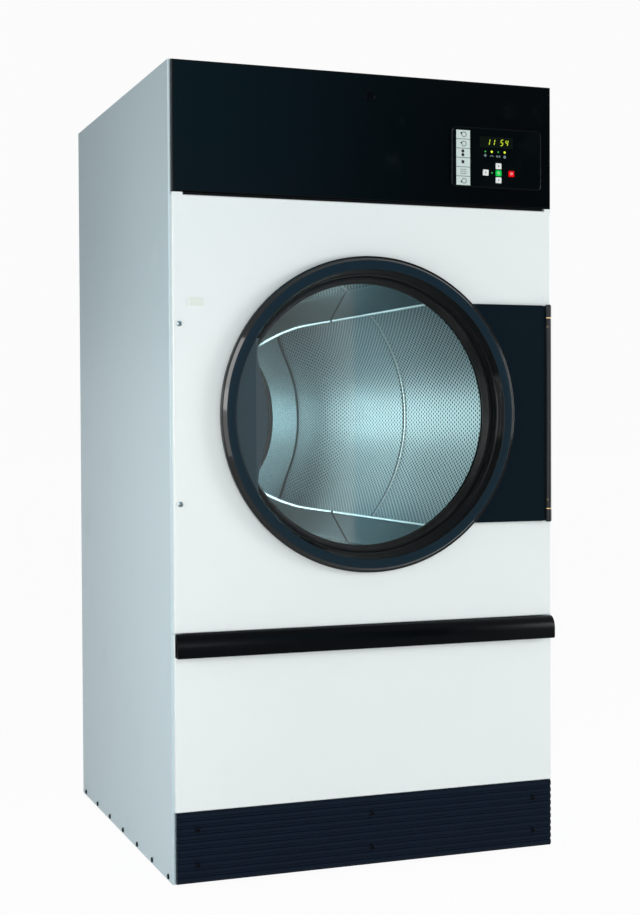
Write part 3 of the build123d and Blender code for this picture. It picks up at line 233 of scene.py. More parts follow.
WALL_ZINC = (0.44, 0.46, 0.48)
HOUSING_IRON = (0.10, 0.11, 0.12)
BEARING_STEEL = (0.58, 0.59, 0.61)
dress(galvanised("wall_zinc", WALL_ZINC), "rear_bulkhead")
dress(casting("housing_iron", HOUSING_IRON), "bearing_housing")
bearing_steel = turned_steel("bearing_steel", BEARING_STEEL, (1.0, 0.05, 1.0), rough=0.22)
dress(bearing_steel, "drum_bearings")

# The drum is a rolled stainless cylinder, punched all over with small staggered holes.
# Its end is bright polished sheet, pressed to a slight crown and rolled to a bead at the seam;
# slim folded lifters are riveted along the wall.
SHELL_STEEL = (0.425, 0.515, 0.54)
END_STEEL = (0.83, 0.875, 0.885)
BEAD_PAINTED_HIGHLIGHT = (0.93, 0.95, 0.95)
LIP_STEEL_PAINTED_LIGHT = (0.84, 0.92, 0.94)
LIFTER_STEEL = (0.62, 0.72, 0.75)
HOLE_PAINTED_SHADE = (0.02, 0.032, 0.036)
HOLE_STEP = 0.0123
COLUMN_STEP = 0.012
HOLE_RADIUS = 0.0036
HOLE_SOFT = 0.0004
BURR_WIDTH = 0.0016
PLAIN_EDGE = 0.014
WALL_BAND = 0.006
END_SHEET = 0.0014
BEAD_RADIUS = 0.0050
BEAD_STEPS = 6
CROWN_SLOPE = 0.0325
CROWN_TIP = 0.05
CROWN_STEPS = 24
CROWN_FOOT = 0.20
CROWN_REACH = 0.30
DRUM_SIDES = 160
CREASE = math.radians(32.0)
drum_low, drum_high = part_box("drum_shell")
drum_axis_z = (drum_low.z + drum_high.z) / 2
drum_radius = (drum_high.z - drum_low.z) / 2


def perforated_steel():
    # Holes lie in columns around the drum, every other column half a step on.
    finish = coat("perforated_steel")
    x, y, z = finish.axes("XYZ")
    holes = round(2 * math.pi * drum_radius / HOLE_STEP)
    hole_step = 2 * math.pi * drum_radius / holes
    pair_step = 2 * COLUMN_STEP
    around = x.math("ARCTAN2", z - drum_axis_z) * (holes / (2 * math.pi))
    along = y / pair_step

    def lattice(shift):
        across = ((along + shift).math("FRACT") - 0.5) * pair_step
        round_way = ((around + shift).math("FRACT") - 0.5) * hole_step
        return (across * across + round_way * round_way) ** 0.5

    nearest = lattice(0.0).math("MINIMUM", lattice(0.5))
    wall = finish.radius(drum_axis_z) > drum_radius - WALL_BAND
    inset = (y - (drum_low.y + PLAIN_EDGE)).math("MINIMUM", (drum_high.y - PLAIN_EDGE) - y) > 0.0
    field = wall * inset
    # The holes are painted dark: painted shade for the unlit inside of the cabinet seen through them.
    hole = finish.ramp(nearest, HOLE_RADIUS + HOLE_SOFT, HOLE_RADIUS - HOLE_SOFT) * field
    burr = finish.ramp(nearest, HOLE_RADIUS + BURR_WIDTH, HOLE_RADIUS) * field
    haze = finish.noise(7.0, 3.0, (1.0, 0.3, 1.0))
    rolled = finish.tone(haze, SHELL_STEEL, 0.88, 1.08)
    # The lip at the drum's mouth is painted much paler than the wall: painted light on it and on its
    # mirror image in the polished end.
    steel = finish.tint(wall, LIP_STEEL_PAINTED_LIGHT, rolled)
    finish.drive(Base_Color=finish.tint(hole, steel, HOLE_PAINTED_SHADE))
    finish.drive(Metallic=0.95 - 0.9 * hole)
    finish.drive(Roughness=0.1 + wall * (0.17 + 0.1 * haze) + 0.4 * hole)
    finish.bump(1.0 - 0.7 * burr - hole, 0.0012, 0.5)
    return finish


def polished_end():
    # Mirror bright sheet, a little wavy, with its rolled rim left satin and painted paler: a painted
    # highlight along the seam.
    finish = coat("polished_end")
    bead = finish.radius(drum_axis_z) > flat_radius
    haze = finish.noise(4.0, 3.0)
    bright = finish.tone(haze, END_STEEL, 0.94, 1.05)
    finish.drive(Base_Color=finish.tint(bead, bright, BEAD_PAINTED_HIGHLIGHT))
    finish.drive(Metallic=1.0 - 0.1 * bead)
    finish.drive(Roughness=0.014 + 0.014 * haze + 0.21 * bead)
    finish.bump(haze, 0.0004, 0.04)
    return finish


def brushed_steel(name, colour, stretch, rough=0.24):
    # Rolled sheet with fine lines in the rolling direction and slow clouding.
    finish = coat(name, Metallic=1.0)
    lines = finish.noise(650.0, 2.0, stretch)
    cloud = finish.noise(8.0, 3.0)
    finish.drive(Base_Color=finish.tone(cloud, colour, 0.93, 1.04))
    finish.drive(Roughness=rough + 0.1 * lines + 0.06 * cloud)
    finish.bump(lines, 0.00004, 0.1)
    return finish


def add_object(name, data):
    thing = bpy.data.objects.new(name, data)
    bpy.context.scene.collection.objects.link(thing)
    return thing


def new_piece(name, build, finish, body):
    # A piece from finished geometry, smooth but for its creases, riding on a body of the part.
    bmesh.ops.recalc_face_normals(build, faces=build.faces)
    mesh = bpy.data.meshes.new(name)
    build.to_mesh(mesh)
    build.free()
    mesh.shade_smooth()
    mesh.set_sharp_from_angle(angle=CREASE)
    mesh.materials.append(finish.owner)
    piece = add_object(name, mesh)
    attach(piece, body)
    return piece


def bridge(build, low, high):
    # A band of faces between two loops; a loop of one point closes to a tip.
    count = max(len(low), len(high))
    for n in range(count):
        following = (n + 1) % count
        corners = [low[n % len(low)], low[following % len(low)]]
        corners += [high[following % len(high)], high[n % len(high)]]
        build.faces.new(list(dict.fromkeys(corners)))


def span(build, loops, closed=False):
    # Bands along a row of loops, and from its last to its first where it is closed.
    for low, high in zip(loops, loops[1:] + (loops[:1] if closed else [])):
        if len(low) + len(high) > 2:
            bridge(build, low, high)


def turns(sides):
    return [2 * math.pi * n / sides for n in range(sides)]


def lathe(outline, axis_z, sides):
    # Turns an outline of radii and depths about a level axis from front to back.
    build = bmesh.new()
    angles = turns(sides)
    loops = []
    for radius, y in outline:
        spokes = angles if radius > 0.0 else angles[:1]
        loop = [(radius * math.cos(a), y, axis_z + radius * math.sin(a)) for a in spokes]
        loops.append([build.verts.new(place) for place in loop])
    span(build, loops, closed=True)
    return build


end_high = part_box("drum_back")[1]
end_radius = end_high.x
end_plane = end_high.y - END_SHEET
flat_radius = end_radius - BEAD_RADIUS
crown_step = flat_radius / CROWN_STEPS
end_outline = [(flat_radius, end_plane)]
for n in range(CROWN_STEPS - 1, -1, -1):
    middle = (n + 0.5) * crown_step
    fade = min(max((CROWN_REACH - middle) / (CROWN_REACH - CROWN_FOOT), 0.0), 1.0)
    slope = CROWN_SLOPE * middle / math.hypot(middle, CROWN_TIP) * fade
    end_outline.insert(0, (n * crown_step, end_outline[0][1] - slope * crown_step))
for n in range(1, BEAD_STEPS + 1):
    turn = math.pi / 2 * n / BEAD_STEPS
    bead_radius = end_radius - BEAD_RADIUS * math.cos(turn)
    end_outline.append((bead_radius, end_plane - BEAD_RADIUS * math.sin(turn)))
end_outline += [(end_radius, end_high.y), (0.0, end_high.y)]
end_sheet = lathe(end_outline, drum_axis_z, DRUM_SIDES)
drum_end = new_piece("drum_end", end_sheet, polished_end(), "drum")
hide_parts("drum_back")
lifter_steel = brushed_steel("lifter_steel", LIFTER_STEEL, (1.0, 0.02, 1.0), rough=0.26)
dress(perforated_steel(), "drum_shell")
dress(lifter_steel, "drum_lifters")

# Behind the drum's end sit its welded spider with the shaft and the large cast belt wheel.
# A felt strip in the front panel's collar closes the running gap around the drum's mouth.
SPIDER_IRON = (0.09, 0.095, 0.10)
WHEEL_IRON = (0.15, 0.155, 0.16)
FELT_GREY = (0.40, 0.44, 0.45)
dress(casting("spider_iron", SPIDER_IRON), "drum_spider")
dress(casting("wheel_iron", WHEEL_IRON, metal=0.3, rough=0.5), "drum_pulley", "jack_pulley")


def pressed_felt():
    # Matted wool fibres, dull and fuzzy, with darker worn tufts.
    finish = coat("pressed_felt", Roughness=0.95)
    fibres = finish.noise(700.0, 4.0, (1.0, 0.4, 1.0))
    tufts = finish.noise(60.0, 3.0)
    finish.drive(Base_Color=finish.tone(0.6 * fibres + 0.4 * tufts, FELT_GREY, 0.6, 1.3))
    finish.bump(fibres, 0.0008, 0.7)
    return finish


dress(pressed_felt(), "drum_seal")

# The drive: an enamelled motor with its shaft through both ends, a fan wheel, and two ribbed belts.
# The fan's scroll and the square duct with the round collar are folded galvanised sheet.
MOTOR_GREY = (0.075, 0.10, 0.125)
SHAFT_STEEL = (0.50, 0.51, 0.53)
FAN_ZINC = (0.46, 0.47, 0.48)
BELT_BLACK = (0.014, 0.014, 0.015)
BELT_DUST = (0.09, 0.088, 0.085)
SHEET_ZINC = (0.50, 0.52, 0.54)


def belt_rubber():
    # Black rubber with a woven back, dusted grey by wear.
    finish = coat("belt_rubber")
    weave = finish.add("ShaderNodeTexChecker", {"Vector": finish.place(), "Scale": 900.0}, 1)
    dust = finish.ramp(finish.noise(40.0, 4.0), 0.45, 0.75)
    finish.drive(Base_Color=finish.tint(0.5 * dust, BELT_BLACK, BELT_DUST))
    finish.drive(Roughness=0.62 + 0.2 * dust)
    finish.bump(weave, 0.0002, 0.25)
    return finish


dress(casting("motor_enamel", MOTOR_GREY, rough=0.45), "motor")
dress(turned_steel("shaft_steel", SHAFT_STEEL, (1.0, 0.05, 1.0)), "motor_shaft")
dress(galvanised("fan_zinc", FAN_ZINC, spangle=60.0), "impeller")
dress(galvanised("duct_zinc", SHEET_ZINC, spangle=34.0), "blower_housing", "exhaust_duct")
dress(belt_rubber(), "drum_belt", "motor_belt")

# The heater sits over the drum in a folded hood with louvres; its hairpin rods are sheathed alloy,
# darkened and tinted by heat.
HOOD_ZINC = (0.52, 0.54, 0.56)
ROD_ALLOY = (0.30, 0.27, 0.24)
ROD_STRAW = (0.36, 0.25, 0.13)
ROD_BLUE = (0.10, 0.12, 0.18)


def heat_darkened():
    # Straw and blue oxide bands on a dull sheath.
    finish = coat("heat_darkened", Metallic=0.8)
    bands = finish.noise(22.0, 3.0, (1.0, 0.4, 1.0))
    scale = finish.noise(300.0, 3.0)
    straw = finish.tint(finish.ramp(bands, 0.35, 0.6), ROD_ALLOY, ROD_STRAW)
    finish.drive(Base_Color=finish.tint(finish.ramp(bands, 0.6, 0.8), straw, ROD_BLUE))
    finish.drive(Roughness=0.42 + 0.25 * scale)
    finish.bump(scale, 0.0002, 0.3)
    return finish


dress(galvanised("hood_zinc", HOOD_ZINC, spangle=30.0), "heater_housing")
dress(heat_darkened(), "heater_elements")

# The back: a plain galvanised sheet with air slots, a folded guard over the belts and a painted
# supply box with the cable entry in its cover. Zinc plated pan head screws hold their edges,
# and the flange of the heater hood on the lid.
BACK_ZINC = (0.55, 0.57, 0.59)
BOX_GREY = (0.36, 0.38, 0.40)
dress(galvanised("back_zinc", BACK_ZINC, spangle=22.0), "rear_cover")
dress(galvanised("guard_zinc", SHEET_ZINC, spangle=22.0), "drive_guard")
dress(powder_coat("box_paint", BOX_GREY, rough=0.45), "junction_box")

SHEET_LIFT = 0.0017
BOX_DEPTH = 0.075
SHEET_SCREW = {"radius": 0.0048, "height": 0.0026, "shank": 0.004}
BACK_INSET = 0.012
GUARD_INSET = 0.0075
BOX_INSET = 0.012
HOOD_INSET = 0.0125
SHANK_SHARE = 0.38
CROWN_SHARE = 0.68
CROSS_REACH = 0.52
CROSS_WAIST = 0.14
CROSS_TAPER = 0.5
CROSS_FLOOR = 0.25
ROUND_SIDES = 24
SCREW_ZINC = (0.42, 0.44, 0.46)
screw_zinc = turned_steel("screw_zinc", SCREW_ZINC, rough=0.32)


def pan_screw(build, seat, out, radius, height, shank):
    # A pan head with a tapered cross recess, its seat at a point and its crown in the out direction.
    out = Vector(out)
    side = out.orthogonal().normalized()
    up = out.cross(side)

    def corner(x, y, lift):
        return build.verts.new(Vector(seat) + side * x + up * y + out * lift)

    def ring(share, lift):
        reach = share * radius
        return [corner(reach * math.cos(a), reach * math.sin(a), lift) for a in turns(ROUND_SIDES)]

    profile = [(SHANK_SHARE, -shank), (SHANK_SHARE, 0.0), (1.0, 0.0), (1.0, 0.28 * height)]
    profile += [(0.94, 0.62 * height), (0.82, 0.88 * height), (CROWN_SHARE, height)]
    rings = [ring(share, lift) for share, lift in profile]
    build.faces.new(rings[0])
    span(build, rings)

    def cross(scale, lift):
        reach, waist = CROSS_REACH * radius * scale, CROSS_WAIST * radius * scale
        points = []
        for quarter in range(4):
            c, s = (1, 0, -1, 0)[quarter], (0, 1, 0, -1)[quarter]
            for x, y in ((reach, -waist), (reach, waist), (waist, waist)):
                points.append(corner(c * x - s * y, s * x + c * y, lift))
        return points

    mouth = cross(1.0, height)
    floor = cross(CROSS_TAPER, CROSS_FLOOR * height)
    crown = rings[-1]
    step = ROUND_SIDES // 8
    for quarter in range(4):
        first = 2 * step * quarter
        low, high, inner = mouth[3 * quarter: 3 * quarter + 3]
        after = mouth[(3 * quarter + 3) % 12]
        arc = [crown[(first + n) % ROUND_SIDES] for n in range(2 * step + 1)]
        build.faces.new((low, arc[0], high))
        build.faces.new((*arc[: step + 1], inner, high))
        build.faces.new((*arc[step:], after, inner))
    bridge(build, mouth, floor)
    build.faces.new(floor)


def border_spots(low, high, inset, across, up):
    # Evenly spaced points round a rectangle, drawn in from its edges.
    xa, xb, za, zb = low.x + inset, high.x - inset, low.y + inset, high.y - inset
    columns = [xa + (xb - xa) * n / (across - 1) for n in range(across)]
    rows = [za + (zb - za) * n / (up - 1) for n in range(1, up - 1)]
    return [(x, z) for x in columns for z in (za, zb)] + [(x, z) for x in (xa, xb) for z in rows]


def sheet_screws(name, spots, out):
    build = bmesh.new()
    for spot in spots:
        pan_screw(build, spot, out, **SHEET_SCREW)
    new_piece(name, build, screw_zinc, "cabinet")


back_low, back_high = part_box("rear_cover")
guard_low, guard_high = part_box("drive_guard")
box_low, box_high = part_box("junction_box")
hood_low, hood_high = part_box("heater_housing")
lid_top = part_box("top_panel")[1].z
edge = border_spots(back_low.xz, back_high.xz, BACK_INSET, across=4, up=8)
flange = border_spots(guard_low.xz, guard_high.xz, GUARD_INSET, across=5, up=7)
cover = border_spots(box_low.xz, box_high.xz, BOX_INSET, across=2, up=2)
rim = border_spots(hood_low.xy, hood_high.xy, HOOD_INSET, across=4, up=4)
back_spots = [(x, back_high.y, z) for x, z in edge]
back_spots += [(x, back_high.y + SHEET_LIFT, z) for x, z in flange]
back_spots += [(x, box_low.y + BOX_DEPTH, z) for x, z in cover]
sheet_screws("back_screws", back_spots, (0.0, 1.0, 0.0))
sheet_screws("hood_screws", [(x, y, lid_top + SHEET_LIFT) for x, y in rim], (0.0, 0.0, 1.0))

# The white front panel is one folded pan with a flanged loading hole, powder coated.
# Two screws at its left edge and the door's hinge strip on the right hold it to the side panels,
# and a small cream plate is bonded on at its upper left.
FRONT_WHITE = (0.83, 0.89, 0.885)
front_paint = powder_coat("front_paint", FRONT_WHITE, rough=0.34, peel=0.2)
dress(front_paint, "front_panel", "drawer_front")

PLATE_MIDDLE = (-0.429, 1.348)
PLATE_SIZE = (0.034, 0.018)
PLATE_RISE = 0.003
SIGN_RISE = 0.0003
PLATE_CREAM = (0.77, 0.83, 0.765)


def loop_at(build, outline, y):
    return [build.verts.new((x, y, z)) for x, z in outline]


def tile(build, outline, seat, draw_in=0.93, rise=SIGN_RISE):
    # A flat raised tile on a front face: its outline at the seat, drawn in a little at its own face.
    middle = [sum(point[axis] for point in outline) / len(outline) for axis in (0, 1)]
    drawn = [[m + (v - m) * draw_in for v, m in zip(point, middle)] for point in outline]
    back = loop_at(build, outline, seat)
    front = loop_at(build, drawn, seat - rise)
    build.faces.new(back)
    build.faces.new(front)
    bridge(build, back, front)


def rectangle(x, z, width, height):
    return [(x + a * width / 2, z + b * height / 2) for a, b in ((-1, -1), (1, -1), (1, 1), (-1, 1))]


front_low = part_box("front_panel")[0]
plate = bmesh.new()
tile(plate, rectangle(*PLATE_MIDDLE, *PLATE_SIZE), front_low.y, draw_in=0.98, rise=PLATE_RISE)
plate_paint = powder_coat("plate_paint", PLATE_CREAM, rough=0.4, peel=0.1)
new_piece("blank_plate", plate, plate_paint, "cabinet")

# The plinth is one plate with folded edges, pressed with level ribs all the way across.
# It is painted satin dark navy and held to the base frame by six screws.
PLINTH_NAVY = (0.0008, 0.0062, 0.0165)
PLINTH_DUST = (0.10, 0.11, 0.12)
plinth_paint = powder_coat(
    "plinth_paint", PLINTH_NAVY, rough=0.3, peel=0.1, dust=PLINTH_DUST, dusty=0.012, shine=0.1
)
dress(plinth_paint, "kick_plate")

# Steel pan head screws with a cross recess hold the plinth, the white front and the lower edges of
# the side panels. Each stands where the frame has its plain screw. The front's are bright plated,
# the plinth's and the sides' are blacked.
SCREW_HEAD = 0.0032
SCREW_RADIUS = 0.0065
SCREW_SHANK = 0.007
SCREW_BLACK = (0.006, 0.008, 0.011)
SCREW_BRIGHT = (0.26, 0.31, 0.33)
MERGE = 0.00001
screw_black = turned_steel("screw_black", SCREW_BLACK, rough=0.38)
screw_bright = turned_steel("screw_bright", SCREW_BRIGHT, rough=0.1)


def separate_solids(node):
    # Lowest and highest corners of each solid in a node.
    build = bmesh.new()
    build.from_mesh(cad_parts[node].data)
    bmesh.ops.remove_doubles(build, verts=build.verts, dist=MERGE)
    left = set(build.verts)
    corners = []
    while left:
        reached = [left.pop()]
        for vert in reached:
            found = {edge.other_vert(vert) for edge in vert.link_edges} & left
            left -= found
            reached.extend(found)
        axes = list(zip(*(vert.co for vert in reached)))
        corners.append([Vector([end(axis) for axis in axes]) for end in (min, max)])
    build.free()
    return sorted(corners, key=lambda pair: tuple(pair[0]))


bright_screws = bmesh.new()
black_screws = bmesh.new()
for low, high in separate_solids("cabinet_screws"):
    middle = (low + high) / 2
    if high.y - low.y < high.x - low.x:
        out = Vector((0.0, -1.0, 0.0))
        seat = Vector((middle.x, low.y + SCREW_HEAD, middle.z))
    else:
        out = Vector((math.copysign(1.0, middle.x), 0.0, 0.0))
        seat = Vector((high.x if middle.x > 0 else low.x, middle.y, middle.z)) - out * SCREW_HEAD
    group = bright_screws if middle.z > front_low.z else black_screws
    pan_screw(group, seat, out, SCREW_RADIUS, SCREW_HEAD, SCREW_SHANK)
new_piece("front_screws", bright_screws, screw_bright, "cabinet")
edge_screws = new_piece("edge_screws", black_screws, screw_black, "cabinet")
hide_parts("cabinet_screws")

# The lint drawer: a tray of galvanised sheet on two runners, with a framed lint screen in it
# and a drawn plastic pull across its whole width, bellied in front, hollow and open below.
PULL_BLACK = (0.0006, 0.0016, 0.0024)
SCREEN_STEEL = (0.42, 0.44, 0.46)
LINT_GREY = (0.5, 0.5, 0.49)
WIRE_TURNS = 2600.0


def moulded(name, colour, rough, grain=0.12, scale=1400.0, shine=0.25):
    # Moulded plastic with a fine eroded grain and faint handling marks.
    finish = coat(name, Specular_IOR_Level=shine)
    skin = finish.noise(scale)
    handled = finish.ramp(finish.noise(11.0, 4.0), 0.5, 0.8)
    finish.drive(Base_Color=finish.tone(skin, colour, 0.9, 1.12))
    finish.drive(Roughness=rough + 0.06 * skin + 0.08 * handled)
    finish.bump(skin, 0.00012, grain)
    return finish


def woven_wire():
    # Fine square wire cloth stretched in a sheet frame.
    finish = coat("woven_wire", Metallic=0.8)
    x, y = finish.axes("XY")
    wires = (x * WIRE_TURNS).math("SINE") * (y * WIRE_TURNS).math("SINE")
    lint = finish.ramp(finish.noise(18.0, 4.0), 0.5, 0.8)
    cloth = finish.tone(finish.ramp(wires, -0.4, 0.5), SCREEN_STEEL, 0.25, 1.0)
    finish.drive(Base_Color=finish.tint(0.35 * lint, cloth, LINT_GREY))
    finish.drive(Roughness=0.45 + 0.3 * lint)
    finish.bump(wires, 0.0005, 0.6)
    return finish


dress(galvanised("tray_zinc", SHEET_ZINC, spangle=30.0), "drawer_tray", "drawer_runners")
dress(woven_wire(), "lint_screen")
pull_plastic = moulded("pull_plastic", PULL_BLACK, rough=0.24, shine=0.05)

PULL_TOP_GAP = 0.0011
PULL_WALL = 0.0028
PULL_BELLY = 0.030
PULL_LIP = 0.0065
PULL_NOSE = 0.004
PULL_CHAMFER = 0.0012
PULL_LIP_RISE = 0.002
PULL_END_EASE = 0.0022
PULL_END_STEP = 0.0008
PULL_STEP_SHARE = 0.3


def eased(corners, steps=6):
    # A closed outline whose corners are rounded to the radius given with each of them.
    path = []
    for n, (a, b, radius) in enumerate(corners):
        here = Vector((a, b))
        into = (Vector(corners[n - 1][:2]) - here).normalized()
        out = (Vector(corners[(n + 1) % len(corners)][:2]) - here).normalized()
        half = into.angle(out) / 2
        middle = here + (into + out).normalized() * radius / math.sin(half)
        start = here + into * radius / math.tan(half) - middle
        end = here + out * radius / math.tan(half) - middle
        spokes = [start.slerp(end, k / steps) * radius for k in range(steps + 1)] if radius else []
        path += [tuple(middle + spoke) for spoke in spokes] or [(a, b)]
    return path


def belly(back, front, low, high, steps=10):
    # A quarter of an ellipse from the top at the back down to the front.
    angles = [math.pi / 2 * n / steps for n in range(steps + 1)]
    return [(back + (front - back) * math.sin(a), low + (high - low) * math.cos(a)) for a in angles]


pull_low, pull_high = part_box("drawer_handle")
pull_top = front_low.z - PULL_TOP_GAP
pull_front, pull_back = pull_low.y, pull_high.y
skin = belly(pull_back, pull_front, pull_top - PULL_BELLY, pull_top)
skin += [(pull_front, pull_low.z + PULL_NOSE), (pull_front + PULL_CHAMFER, pull_low.z + PULL_CHAMFER)]
skin += [(pull_front + PULL_NOSE, pull_low.z), (pull_front + PULL_LIP, pull_low.z)]
skin += [(pull_front + PULL_LIP, pull_low.z + PULL_WALL)]
skin += [(pull_front + PULL_WALL, pull_low.z + PULL_WALL + PULL_LIP_RISE)]
hollow_back, hollow_top = pull_back - PULL_WALL, pull_top - PULL_WALL
skin += belly(hollow_back, pull_front + PULL_WALL, pull_top - PULL_BELLY, hollow_top)[::-1]
skin += [(hollow_back, pull_low.z), (pull_back, pull_low.z)]
pull_mid = (pull_low.z + pull_top) / 2
end_steps = ((0.0, 1.0), (PULL_END_STEP, PULL_STEP_SHARE), (PULL_END_EASE, 0.0))
stations = [(pull_low.x + step, ease) for step, ease in end_steps]
stations += [(pull_high.x - step, ease) for step, ease in end_steps[::-1]]
pull = bmesh.new()
loops = []
for x, ease in stations:
    draw = 1.0 - ease * PULL_END_EASE / (pull_back - pull_front)
    drawn = [(pull_back + (y - pull_back) * draw, pull_mid + (z - pull_mid) * draw) for y, z in skin]
    loops.append([pull.verts.new((x, y, z)) for y, z in drawn])
span(pull, loops)
pull.faces.new(loops[0])
pull.faces.new(loops[-1])
drawer_pull = new_piece("drawer_pull", pull, pull_plastic, "drawer")
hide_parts("drawer_handle")

# The control compartment is folded sheet behind the black control panel,
# which is hinged along its lower edge and locked at its top.
FASCIA_BLACK = (0.0002, 0.0011, 0.0016)
FASCIA_DUST = (0.05, 0.06, 0.07)
LOCK_BLACK = (0.004, 0.005, 0.006)
dress(galvanised("control_zinc", SHEET_ZINC, spangle=28.0), "control_compartment")
fascia_paint = powder_coat(
    "fascia_paint", FASCIA_BLACK, rough=0.24, peel=0.1, dust=FASCIA_DUST, dusty=0.002, shine=0.1
)
dress(fascia_paint, "control_panel", "control_hinge_fixed")
dress(turned_steel("lock_black", LOCK_BLACK, (1.0, 0.05, 1.0)), "lock_body", "lock_plug")

# The key module is a moulded front with a smoked display lens, four lamps and five sprung keys.
# A pale strip of programme signs is let in at its left; signs and digits are raised a hair.
BEZEL_BLACK = (0.0006, 0.0020, 0.0026)
LENS_SMOKE = (0.005, 0.008, 0.006)
KEY_WHITE = (0.80, 0.84, 0.83)
KEY_GREEN = (0.004, 0.62, 0.07)
KEY_RED = (0.90, 0.003, 0.006)
STRIP_PALE = (0.60, 0.71, 0.68)
SIGN_DARK = (0.012, 0.015, 0.017)
SIGN_GREY = (0.16, 0.21, 0.22)
DIGIT_GLOW = (0.62, 0.80, 0.02)
LAMP_GREEN = (0.004, 0.36, 0.03)
LAMP_YELLOW = (0.78, 0.92, 0.01)
dress(moulded("bezel_plastic", BEZEL_BLACK, rough=0.18, shine=0.1), "control_bezel")
dress(moulded("display_lens", LENS_SMOKE, rough=0.1, grain=0.02, shine=0.15), "display_window")
key_white = moulded("key_white", KEY_WHITE, rough=0.4, shine=0.12)
dress(key_white, "button_select", "button_up", "button_down")
dress(moulded("key_green", KEY_GREEN, rough=0.4, shine=0.06), "button_start")
dress(moulded("key_red", KEY_RED, rough=0.4, shine=0.06), "button_stop")
strip_pale = moulded("strip_pale", STRIP_PALE, rough=0.45)
sign_dark = moulded("sign_dark", SIGN_DARK, rough=0.5)
sign_grey = moulded("sign_grey", SIGN_GREY, rough=0.5)


def glowing(name, colour):
    # A lit plastic part, brightest in its grain's thin places.
    finish = coat(name, Roughness=0.35, Emission_Strength=1.0)
    grain = finish.noise(900.0)
    finish.drive(Emission_Color=finish.tone(grain, colour, 0.85, 1.0))
    finish.drive(Base_Color=finish.tone(grain, colour, 0.1, 0.2))
    return finish


def polygon(x, z, radius, sides, first=0.0):
    angles = [first + a for a in turns(sides)]
    return [(x + radius * math.cos(a), z + radius * math.sin(a)) for a in angles]


def washer(build, x, z, inner, outer, seat):
    # A raised ring on a front face.
    front = seat - SIGN_RISE
    section = ((outer, seat), (outer, front), (inner, front), (inner, seat))
    loops = [loop_at(build, polygon(x, z, radius, ROUND_SIDES), y) for radius, y in section]
    span(build, loops, closed=True)


def ribbon(build, points, width, seat):
    # A raised line of even width along points, closed at both ends.
    left, right = [], []
    for n, point in enumerate(points):
        before = Vector(points[max(n - 1, 0)])
        after = Vector(points[min(n + 1, len(points) - 1)])
        along = (after - before).normalized()
        across = along.orthogonal() * width / 2
        left.append(tuple(Vector(point) + across))
        right.append(tuple(Vector(point) - across))
    tile(build, left + right[::-1], seat, draw_in=1.0)


bezel_low, bezel_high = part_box("control_bezel")
face = bezel_low.y
RIM_STEPS = ((0.0014, 0.0), (0.0018, 0.0005), (0.0021, 0.0006), (0.0040, 0.0))
BEZEL_CORNER = 0.012
rim_plastic = moulded("rim_plastic", BEZEL_BLACK, rough=0.16, grain=0.04, shine=0.05)
raised_rim = bmesh.new()
loops = []
for inset, rise in RIM_STEPS:
    xa, xb = bezel_low.x + inset, bezel_high.x - inset
    za, zb = bezel_low.z + inset, bezel_high.z - inset
    r = BEZEL_CORNER - inset
    path = eased([(xa, za, r), (xb, za, r), (xb, zb, r), (xa, zb, r)])
    loops.append(loop_at(raised_rim, path, face - rise))
span(raised_rim, loops, closed=True)
new_piece("module_rim", raised_rim, rim_plastic, "control")
STRIP_LEFT, STRIP_WIDTH = 0.013, 0.037
STRIP_FOOT, STRIP_HEIGHT = 0.004, 0.1345
CELLS = 6
CELL_GAP = 0.0017
BAR_RISE = 0.6 * SIGN_RISE
SIGN_RING = (0.0053, 0.0066)
RING_SHIFT = 0.002
SIGN_DOT, DOT_SIDES = 0.0023, 12
DOT_SHIFT = -0.0052
DOT_FALL, DOT_CLIMB = -0.002, 0.001
SIGN_SHIFT = -0.001
SIGN_PAIR, PAIR_LIFT, PAIR_SIDES = 0.0042, 0.0045, 8
SIGN_SQUARE, SQUARE_LIFT = 0.0075, 0.001
WAVE_STEP, WAVE_HEIGHT, WAVE_TURN = 0.0012, 0.0013, 1.1
WAVE_LIFT, WAVE_WIDTH, WAVE_REACH = 0.005, 0.0009, 7
strip_x = bezel_low.x + STRIP_LEFT + STRIP_WIDTH / 2
cell_pitch = STRIP_HEIGHT / CELLS
strip = bmesh.new()
bars = bmesh.new()
signs = bmesh.new()
sign_face = face - SIGN_RISE
for n in range(CELLS):
    z = bezel_low.z + STRIP_FOOT + (n + 0.5) * cell_pitch
    tile(strip, rectangle(strip_x, z, STRIP_WIDTH, cell_pitch - CELL_GAP), face, draw_in=0.99)
    if n:
        bar = rectangle(strip_x, z - cell_pitch / 2, STRIP_WIDTH, CELL_GAP)
        tile(bars, bar, face, draw_in=1.0, rise=BAR_RISE)
    if n in (0, 4, 5):
        washer(signs, strip_x + RING_SHIFT, z, *SIGN_RING, sign_face)
        dot_z = z + DOT_FALL + DOT_CLIMB * n
        tile(signs, polygon(strip_x + DOT_SHIFT, dot_z, SIGN_DOT, DOT_SIDES), sign_face)
    elif n == 3:
        for lift in (-PAIR_LIFT, PAIR_LIFT):
            place = (strip_x + SIGN_SHIFT, z + lift)
            tile(signs, polygon(*place, SIGN_PAIR, PAIR_SIDES, math.pi / PAIR_SIDES), sign_face)
    elif n == 2:
        square = rectangle(strip_x + SIGN_SHIFT, z + SQUARE_LIFT, SIGN_SQUARE, SIGN_SQUARE)
        tile(signs, square, sign_face)
    else:
        for lift in (-WAVE_LIFT, 0.0, WAVE_LIFT):
            steps = range(-WAVE_REACH, WAVE_REACH + 1)
            swing = [z + lift + WAVE_HEIGHT * math.sin(WAVE_TURN * k) for k in steps]
            wave = [(strip_x + WAVE_STEP * k, height) for k, height in zip(steps, swing)]
            ribbon(signs, wave, WAVE_WIDTH, sign_face)
new_piece("programme_strip", strip, strip_pale, "control")
new_piece("strip_bars", bars, sign_grey, "control")
new_piece("programme_signs", signs, sign_dark, "control")

